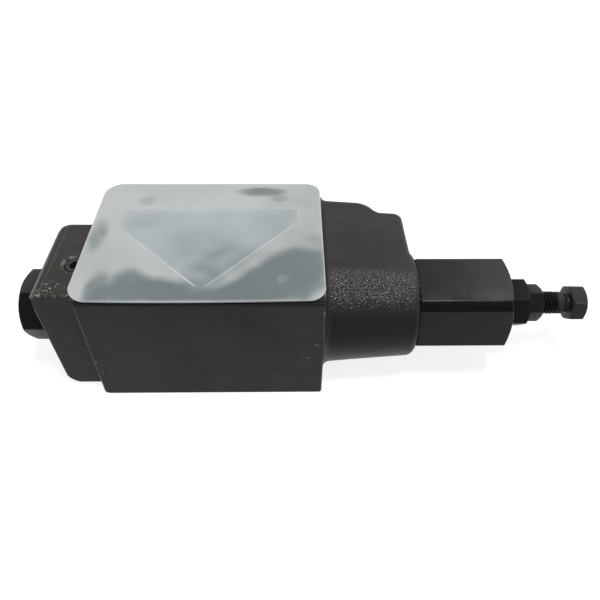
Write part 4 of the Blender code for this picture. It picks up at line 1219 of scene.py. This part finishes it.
def portCuts():
    # Bolt holes, the five ports with their counterbores on top, and the small screw plug's seat
    height, lip = castHigh[2], interface["chamfer"]
    depth, port, bolt = pick(interface, "mouthDepth", "portRadius", "boltRadius")
    seat, shelf = interface["seatRadius"], height - interface["seatDepth"]
    top = [(shelf, port), (shelf, seat), (height - lip, seat), (height + 1.0, seat + 1.0 + lip)]
    bottom = [(-1.0, port + 1.0 + lip), (lip, port)]
    for center in interface["tanks"]:
        yield uprightCut(center, bottom + top)
    for center in interface["lines"]:
        yield uprightCut(center, bottom + [(depth, port)])
        yield uprightCut(center, [(height - depth, port)] + top)
    rows = [(-1.0, bolt + 1.0 + lip), (lip, bolt), (height - lip, bolt), (height + 1.0, bolt + 1.0 + lip)]
    for center in interface["bolts"]:
        yield uprightCut(center, rows)
    mouth, (drill, chamfer) = pilotPlug["radius"] + seatGap, pick(pilotPlug, "drill", "seatChamfer")
    floor, surface = pilotTop - pilotPlug["length"] - seatGap, pilotTop + pilotPlug["sink"]
    rows = [(spoolZ, drill), (floor, drill), (floor, mouth), (surface - chamfer, mouth)]
    yield uprightCut(pilotPlug["center"], rows + [(surface + 1.0, mouth + chamfer + 1.0)])


def channelCuts():
    # Cored channels: A and B bend round behind the bore, and P leads to both galleries
    height, start = castHigh[2], interface["mouthDepth"] - 2.0
    neck = interface["mouthDepth"] + 1.0
    for x, y in interface["lines"][1:]:
        back, bend = y + interface["detour"], neck + interface["detour"] / 2
        route = [(x, y, start), (x, y, neck), (x, back, bend)]
        yield tubeCut(route + [(a, b, height - c) for a, b, c in reversed(route)], interface["channelRadius"])
    x, y = interface["lines"][0]
    reach = bore["gallery"] / 2
    for galleryX, flip in zip(spool["galleryX"], (False, True)):
        route = [(x, y, start), (x, y, neck), (galleryX, spoolY - reach, spoolZ - reach)]
        route = [(a, b, height - c) for a, b, c in route] if flip else route
        yield tubeCut(route, interface["channelRadius"])


# Where the paint is chipped through: middle and reach of each patch
chipPatches = [
    ((-57.6, -25.2, 54.0), 2.3),
    ((-53.4, -25.0, 54.0), 1.2),
    ((-61.2, -28.6, 53.4), 1.5),
    ((-57.0, -29.7, 53.6), 1.5),
    ((-48.5, -29.7, 53.6), 1.0),
    ((-45.2, -35.0, 19.0), 1.6),
    ((-43.0, -35.0, 14.0), 1.1),
    ((45.4, -35.0, 51.0), 1.0),
    ((43.0, -35.0, 33.0), 1.0),
    ((41.0, -35.0, 22.0), 1.0),
]


finish = {
    "edgeReach": 1.2,  # how far off the surface its bend is measured
    "fullEdge": 0.35,  # mean distance there that counts as a full edge
    "margin": 1.2,  # along the machined faces
    "underPlate": (1.6, 0.8),  # from the front face: where the plate's shade starts and where it is full
    "plugRing": (0.7, 0.6),  # worn ring round the pilot plug's chamfer, with a painted highlight on it: middle and half width
    "grain": 0.1,
    "armGrain": 0.8,
    "machinedGrain": 0.25,
    # the grain sits on the band of barrel and wing that catches the key light, where its tips carry painted glints
    "grainAngles": ((-4.0, 24.0), (31.0, 66.0), 0.9),
    "shadeAngles": ((5.0, 48.0), (120.0, 170.0), 1.0),
    "armDarkening": (0.14, 0.54),  # darker on plain and on grainy parts of barrel and wing
    "rootShade": (1.2, 0.9),  # painted shade in the crease where the barrel starts: middle and share
    "wornLitEdge": (1.1, 0.8),  # worn paint and painted highlight along the end block's outer edge: width and share
    "litLine": (2.8, 0.3, 0.26),  # painted highlight where its rounding ends: middle, half width and share
    "groove": (1.2, 2.6, 0.14),  # painted shade on the band between those two: start, end and share
}


def overAngles(forward, rise, fall, share):
    # Grows over the first two angles, in degrees forward of the top, and drops by the share over the last two
    return smooth(forward, *rise) * (1 - share * smooth(forward, *fall))


def castingFinish(mesh):
    # edge is high where the surface bends outwards: the mean distance a little way off all round.
    # rough is how strong the cast grain is: most on barrel and wing, least on the machined faces
    flat = np.empty(len(mesh.vertices) * 3)
    mesh.vertices.foreach_get("co", flat)
    points = flat.reshape(-1, 3) / mm
    x, y, z = points.T
    front, top, margin = castLow[1], castHigh[2], finish["margin"]
    edge = sum(ahead + behind for ahead, behind in distancePairs(points, finish["edgeReach"])) / 6
    edge = ramp(edge, 0.0, finish["fullEdge"])
    outer, inner = finish["underPlate"]
    underPlate = smooth(y, front + outer, front + inner) * (z > top - margin) * (np.abs(x) < right)
    # A ring of wear and painted highlight round the pilot plug
    middle, half = finish["plugRing"]
    fromPlug = np.hypot(x - pilotPlug["center"][0], y - pilotPlug["center"][1]) - pilotPlug["radius"]
    onRing = (np.abs(fromPlug - middle) < half) * (z > pilotTop - 0.5)
    edge = np.maximum(edge, onRing) * (1.0 - underPlate)

    onArm = ramp(x - right, -1.0, 3.0)
    machined = ramp(np.minimum(z, top - z), 0.0, margin)
    forward = np.degrees(np.arctan2(spoolY - y, z - spoolZ))
    grainy = overAngles(forward, *finish["grainAngles"])
    grain, least = finish["grain"], finish["machinedGrain"]
    rough = grain + (grain + finish["armGrain"] * grainy) * onArm + grain * (x < left - 0.5)
    rough = rough * (least + (1 - least) * machined)

    # The painted highlights along the end block's top, with worn paint on its outer edge, have no break, unlike the
    # worn spots that the material puts on the edges
    fromEnd, onEndTop = x - castLow[0], z > cast["endTop"] - 1.7
    width, share = finish["wornLitEdge"]
    wearAndHighlight = share * (fromEnd < width) * (0.35 + 0.65 * smooth(y, 0.0, -16.0))
    middle, half, share = finish["litLine"]
    wearAndHighlight = np.maximum(wearAndHighlight, share * (np.abs(fromEnd - middle) < half)) * onEndTop

    # Painted shade: barrel and wing darken as they turn forward and down from the top, in the crease at the
    # barrel's root, under the plate's front edge and on a band of the end block's rounding. Barrel and wing are
    # also darker overall
    paintedShadeAndTone = overAngles(forward, *finish["shadeAngles"]) * onArm
    middle, share = finish["rootShade"]
    paintedShadeAndTone = np.maximum(paintedShadeAndTone, share * np.exp(-((x - right - middle) ** 2)))
    plain, more = finish["armDarkening"]
    paintedShadeAndTone = np.maximum(np.maximum(paintedShadeAndTone, underPlate), (plain + more * grainy) * onArm)
    start, end, share = finish["groove"]
    paintedShadeAndTone = np.maximum(paintedShadeAndTone, share * (fromEnd > start) * (fromEnd < end) * onEndTop)

    chipped = np.zeros(len(points))
    for middle, reach in chipPatches:
        gap = np.linalg.norm(points - middle, axis=1) / reach
        chipped = np.maximum(chipped, 1.0 - ramp(gap, 0.6, 1.6))
    setAttributes(mesh, {"edge": edge, "rough": rough, "paintedShadeAndTone": paintedShadeAndTone, "chipped": chipped, "wearAndHighlight": wearAndHighlight})
    mesh.shade_smooth()
    mesh.set_sharp_from_angle(angle=math.radians(40.0))


def makeCasting():
    outside = ontoCasting(np.array(list(castingRows())))
    outside[..., 2] = np.clip(outside[..., 2], 0.0, castHigh[2])
    outside[:2, :, 0], outside[-2:, :, 0] = castLow[0], castHigh[0]
    grid = np.concatenate([outside, boreRows(outside[-1, :, 1:], outside[0, :, 1:])])
    made = putPiece("valveCasting", putMesh("valveCasting", grid), "painted_casting", "valve", "valve_body")
    cutWith(made, joinedMesh("portCuts", portCuts()))
    cutWith(made, joinedMesh("channelCuts", channelCuts()))
    castingFinish(made.data)
    print("casting has", len(made.data.polygons), "faces")


def makePilotPlug():
    # A round screw plug with a hexagon socket; its rows run from the socket's floor out over the face
    angles = hexagonAngles(pilotPlug["socket"])
    socket = hexagonRadius(angles, pilotPlug["socket"])
    deep, radius, length, lip = pick(pilotPlug, "socketDepth", "radius", "length", "socketChamfer")
    edge, cut, (inner, outer) = pick(pilotPlug, "edge", "endChamfer", "poles")
    rows = [(-deep - 0.5, inner), (-deep, socket), (-lip, socket), (0.0, socket + lip), (0.0, radius - edge)]
    rows += [(-edge, radius), (-length + cut, radius), (-length, radius - cut), (-length, outer)]
    path = softCorners(wide(rows, len(angles)), pilotPlug["soft"])
    height, radius = path[..., 0], path[..., 1]
    x, y = pilotPlug["center"]
    grid = together(x + radius * np.cos(angles), y + radius * np.sin(angles), pilotTop + height)
    wear = np.maximum(cornerWear(path) * (height > -0.6), pilotPlug["faceWear"] * (height > -0.2))
    mesh = putMesh("pilotPlug", grid, False, {"edge": wear})
    putPiece("pilotPlug", mesh, "black_steel", "valve", "pilot_port_plug")


makeCasting()
makePilotPlug()
print("casting made")


cover = {
    "corners": (8.0, 6.2),  # left and right
    "cell": 0.55,
    "lift": 0.05,
    "edge": 0.35,
    "wave": 0.10,
    "backGrowth": 1.1,
    "rightTrim": 0.5,
    "frontTrim": (0.2, 0.15, 0.6),
}

# Where the plate lies wet on the casting: middle, half length, half width, turn, share and softness of each patch
oilPatches = [
    ((-38.4, -29.5), (4.4, 9.2), 0.0, 0.85, 0.75),
    ((-31.5, -32.0), (9.0, 6.2), 0.0, 0.9, 0.75),
    ((-26.0, -27.5), (7.2, 9.5), 0.5, 0.95, 0.75),
    ((-14.0, -30.5), (14.0, 7.0), -0.32, 1.0, 0.75),
    ((1.0, -35.5), (18.0, 6.4), 0.0, 1.0, 0.75),
    ((13.0, -31.5), (13.0, 6.2), 0.45, 1.0, 0.75),
    ((32.5, -19.5), (13.0, 11.5), 0.6, 1.0, 0.7),
    ((24.0, -28.0), (14.0, 8.5), 0.4, 1.0, 0.75),
    ((36.0, -27.0), (10.0, 9.0), 0.0, 0.9, 0.75),
    ((38.5, -15.0), (8.4, 9.0), 0.0, 0.95, 0.75),
    ((20.5, 32.6), (10.0, 3.2), 0.0, 0.85, 0.75),
    ((28.0, 27.6), (3.6, 2.4), 0.0, 0.4, 0.9),
    ((-44.8, 2.6), (3.2, 9.0), 0.0, 0.68, 1.1),
    ((-29.2, 26.1), (3.4, 3.0), 0.0, 0.3, 0.9),
    ((-27.0, 11.0), (5.5, 4.0), 0.2, 0.12, 1.2),
    ((0.2, -21.5), (7.6, 7.6), 0.0, 0.42, 1.0),
    ((8.0, -10.5), (9.6, 7.6), 0.4, 0.33, 1.1),
    ((21.8, -22.4), (14.0, 6.0), 0.68, 1.0, 0.85),
    ((-3.0, -6.0), (13.0, 12.0), 0.0, 0.3, 1.3),
    ((9.5, -19.5), (17.0, 5.0), 0.82, 0.36, 1.2),
    ((-3.0, -27.5), (9.0, 4.0), 0.0, 0.4, 1.2),
    ((40.0, 4.0), (18.0, 40.0), 0.0, 0.22, 1.2),
    ((42.0, -10.0), (9.0, 14.0), 0.0, 0.3, 1.1),
    ((-34.0, -16.0), (16.0, 12.0), 0.0, 0.12, 1.2),
]
dryPatches = [((30.3, -23.3), 2.3, 0.16), ((47.0, -35.6), 7.0, 0.9)]  # middle, reach and share


def sideOf(x, y, start, end):
    # Signed distance from the line through two points, positive on its left
    dx, dy = end[0] - start[0], end[1] - start[1]
    return (dx * (y - start[1]) - dy * (x - start[0])) / math.hypot(dx, dy)


def panelDepth(x, y):
    # How far a place lies inside the panel's straight back and sides, and inside the whole panel
    fromSides = np.minimum(np.minimum(x - panel["sides"][0], panel["sides"][1] - x), panel["back"] - y)
    slopes = np.minimum(sideOf(x, y, panel["left"], panel["tip"]), sideOf(x, y, panel["tip"], panel["right"]))
    return fromSides, np.minimum(slopes, fromSides)


def oilAt(x, y):
    wet = np.zeros_like(x)
    for (middleX, middleY), (length, width), turn, share, softness in oilPatches:
        dx, dy = x - middleX, y - middleY
        u = (dx * math.cos(turn) + dy * math.sin(turn)) / length
        v = (dy * math.cos(turn) - dx * math.sin(turn)) / width
        wet = 1 - (1 - wet) * (1 - share * smooth(1.0 + softness / 2 - np.hypot(u, v), 0.0, softness))
    for (middleX, middleY), reach, share in dryPatches:
        wet = wet * (1 - share * smooth(1.4 - np.hypot(x - middleX, y - middleY) / reach, 0.0, 0.8))
    ragged = 0.12 * np.sin(x / 2.1 + 1.7 * np.sin(y / 3.3)) + 0.1 * np.sin(y / 1.7 + 1.3 * np.sin(x / 2.9))
    return np.clip(wet + ragged * wet**2 * (1 - wet) * 4, 0.0, 1.0)


def coverPlan(low, high, countX, countY):
    # A square grid is pressed into the plate's rounded outline: towards a corner, each point moves in along the
    # diagonal so that the outermost ring follows the corner's arc
    middle, half = (low + high)[:2] / 2, (high - low)[:2] / 2
    u, v = np.meshgrid(np.linspace(-1, 1, countX), np.linspace(-1, 1, countY), indexing="ij")
    radius = np.where(u > 0, cover["corners"][1], cover["corners"][0])
    overX, overY = (np.maximum(np.abs(w * size) - size + radius, 0.0) for w, size in ((u, half[0]), (v, half[1])))
    longest, length = np.maximum(overX, overY), np.hypot(overX, overY)
    pull = np.where(length > 1e-9, longest / np.maximum(length, 1e-9), 1.0)
    x, y = (
        np.sign(w) * (np.minimum(np.abs(w * size), size - radius) + over * pull)
        for w, size, over in ((u, half[0], overX), (v, half[1], overY))
    )
    # The front edge stands back a little, by a quadratic of the place along it, which fades out towards the back
    level, slope, bend = cover["frontTrim"]
    y = y + (level + slope * u + bend * u**2) * smooth(-v, 0.0, 1.0)
    return (x + middle[0]).reshape(-1), (y + middle[1]).reshape(-1)


marks = {
    "panel": 0.85,
    "oiled": 0.95,
    "frontOil": 0.5,  # share of the oil that is gone along the front edge
    "backLine": (0.3, 0.15),  # width and share
    # width and share of the painted highlight round the rim
    "rimLine": (0.6, 0.5),
    "leftSlope": (0.35, 0.4),  # share of the slanting painted highlight, and what it gains towards the tip
    "rightSlope": 0.38,
}


def coverMarks(x, y, low, high):
    # How strongly panel and oil show, and the moulded line along the panel's back, the painted highlight round the
    # rim and the painted highlights along the panel's two slanting edges
    fromSides, depth = panelDepth(x, y)
    sunken = smooth(depth, -0.8, 1.6) * (0.35 + 0.65 * smooth(fromSides, -0.5, 6.0))
    # Both slanting painted highlights fade out just before the tip, and at the panel's straight sides
    share, gain = marks["leftSlope"]
    slope = np.where(x < panel["tip"][0], share + gain * smooth(y, -12.0, -24.0), marks["rightSlope"])
    slope = slope * smooth(fromSides, -0.5, 3.0) * smooth(y, -27.8, -26.6)
    fromEdge = np.minimum(np.minimum(x - low[0], high[0] - x), np.minimum(y - low[1], high[1] - y))
    width, share = marks["backLine"]
    lines = np.exp(-((depth / width) ** 2)) * share * (1.0 - smooth(fromSides, 0.5, 2.0))
    width, share = marks["rimLine"]
    lines = np.maximum(lines, share * smooth(width - fromEdge, 0.0, 0.4))
    wet = oilAt(x, y) * (1 - marks["frontOil"] * smooth(1.4 - (y - low[1]), 0.0, 0.8))
    return {"panel": sunken * marks["panel"], "oiled": wet * marks["oiled"], "lineAndHighlight": lines, "slope": slope}


def makeCover():
    # Two sheets on one plan, the upper one waved and with the panel raised, closed by a rounded rim
    low, high = nodeBox("port_cover")
    high = high + [-cover["rightTrim"], cover["backGrowth"], 0.0]
    countX, countY = ((high - low)[:2] / cover["cell"]).astype(int)
    x, y = coverPlan(low, high, countX, countY)
    wave = cover["wave"] * (np.sin(x / 11.0 + 0.8 * np.sin(y / 13.0)) + np.sin(y / 9.0 + 0.5 * np.sin(x / 8.0))) / 2
    rise = panel["rise"] * smooth(panelDepth(x, y)[1], -0.5, 0.5)
    sheetTop = together(x, y, high[2] - cover["wave"] - panel["rise"] + wave + rise)
    sheetBottom = together(x, y, low[2] + cover["lift"])
    index = np.arange(len(x)).reshape(countX, countY)
    ring = np.concatenate([index[:, 0], index[-1, 1:], index[-2::-1, -1], index[0, -2:0:-1]])
    rim = sheetTop[ring, :2]
    outward = np.roll(rim, 1, axis=0) - np.roll(rim, -1, axis=0)
    outward = together(-outward[:, 1], outward[:, 0])
    outward /= np.linalg.norm(outward, axis=1, keepdims=True)
    edge, turns = cover["edge"], np.radians([22.5, 45.0, 67.5, 90.0])
    for sheet in (sheetTop, sheetBottom):
        sheet[ring, :2] -= outward * edge
    bands = []
    for sheet, sign, order in ((sheetTop, -1, turns), (sheetBottom, 1, turns[::-1])):
        for angle in order:
            around = rim - outward * edge * (1 - math.sin(angle))
            bands.append(np.column_stack([around, sheet[ring, 2] + sign * edge * (1 - math.cos(angle))]))
    points = np.vstack([sheetTop, sheetBottom] + bands)
    quads = together(index[:-1, :-1], index[1:, :-1], index[1:, 1:], index[:-1, 1:]).reshape(-1, 4)
    total, count = len(x), len(ring)
    loops = [ring] + [2 * total + i * count + np.arange(count) for i in range(len(bands))] + [ring + total]
    faces = [quads, quads[:, ::-1] + total]
    for first, second in zip(loops, loops[1:]):
        faces.append(together(first, second, np.roll(second, -1), np.roll(first, -1)))
    mesh = newMesh("portCover", points, outwardFaces(points, faces))
    setAttributes(mesh, coverMarks(points[:, 0], points[:, 1], low, high))
    mesh.shade_smooth()
    putPiece("portCover", mesh, "cover_plastic", "valve", "port_cover")


makeCover()
print("cover made")


studio = {
    "floorColor": (0.36, 0.36, 0.36),
    "floorLift": 0.84,
    "floorRadius": 4.0,  # in metres, as the lamps' places and sizes are
    "worldLevel": 0.27,
    "aim": (0.03, 0.0, 0.03),
    "lamps": {  # place, power and size of each
        "keyLight": ((0.16, -0.17, 1.0), 6.0, 0.2),
        "backLight": ((0.62, 0.34, 0.8), 1.5, 0.5),
        "sideLight": ((-0.9, 0.35, 0.7), 0.9, 0.5),
    },
}


def seenRays(tree):
    # 1 for camera, glossy and transmission rays
    path = addNode(tree, "LightPath", {})
    total = path.outputs["Is Camera Ray"]
    for output in ("Is Glossy Ray", "Is Transmission Ray"):
        total = mathOf(tree, "MAXIMUM", total, path.outputs[output])
    return total


def makeStudio():
    world = bpy.data.worlds.new("studio")
    bpy.context.scene.world = world
    world.use_nodes = True
    tree = world.node_tree
    levels = {"Value": seenRays(tree), "To Min": studio["worldLevel"], "To Max": 1.0}
    level = addNode(tree, "MapRange", levels).outputs["Result"]
    feed(tree.nodes["Background"], {"Color": (1.0, 1.0, 1.0, 1.0), "Strength": level})

    bpy.ops.mesh.primitive_circle_add(vertices=64, radius=studio["floorRadius"], fill_type="NGON")
    floor = bpy.context.object
    floor.name = "studioFloor"
    floor.location.z = -0.1 * mm
    made, tree, shader = newMaterial("studioFloor", {"Roughness": 0.9, "Specular IOR Level": 0.0})
    lift = mathOf(tree, "MULTIPLY", seenRays(tree), studio["floorLift"])
    feed(shader, {"Base Color": (*studio["floorColor"], 1.0), "Emission Color": (1.0, 1.0, 1.0, 1.0)})
    feed(shader, {"Emission Strength": lift})
    floor.data.materials.append(made)

    for name, (place, power, size) in studio["lamps"].items():
        lamp = bpy.data.lights.new(name, "AREA")
        lamp.energy = power
        lamp.size = size
        made = bpy.data.objects.new(name, lamp)
        bpy.context.scene.collection.objects.link(made)
        made.location = place
        made.rotation_euler = (Vector(studio["aim"]) - made.location).to_track_quat("-Z", "Y").to_euler()


view = {
    "place": (0.03315, -0.1787, 0.2051),  # in metres, and the angles in degrees
    "pitch": 44.31,
    "yaw": 1.45,
    "roll": 0.85,
    "focalPixels": 572.8,
    "middlePixel": (301.1, 284.4),
    "imagePixels": 600,
}


def makeCamera():
    data = bpy.data.cameras.new("camera")
    camera = bpy.data.objects.new("camera", data)
    bpy.context.scene.collection.objects.link(camera)
    pitch, yaw, roll = np.radians(pick(view, "pitch", "yaw", "roll"))
    forward = np.array([math.sin(yaw) * math.cos(pitch), math.cos(yaw) * math.cos(pitch), -math.sin(pitch)])
    level = np.array([math.cos(yaw), -math.sin(yaw), 0.0])
    up = np.cross(level, forward)
    across = math.cos(roll) * level + math.sin(roll) * up
    upright = -math.sin(roll) * level + math.cos(roll) * up
    turn = Matrix([across, upright, -forward]).transposed()
    camera.matrix_world = Matrix.Translation(view["place"]) @ turn.to_4x4()
    pixels = view["imagePixels"]
    data.sensor_width = 36.0
    data.lens = view["focalPixels"] / pixels * data.sensor_width
    data.shift_x = (pixels / 2 - view["middlePixel"][0]) / pixels
    data.shift_y = (view["middlePixel"][1] - pixels / 2) / pixels
    data.clip_start = 0.01
    bpy.context.scene.camera = camera


makeStudio()
makeCamera()
bpy.context.scene.view_settings.view_transform = "Standard"
print("studio and camera made")
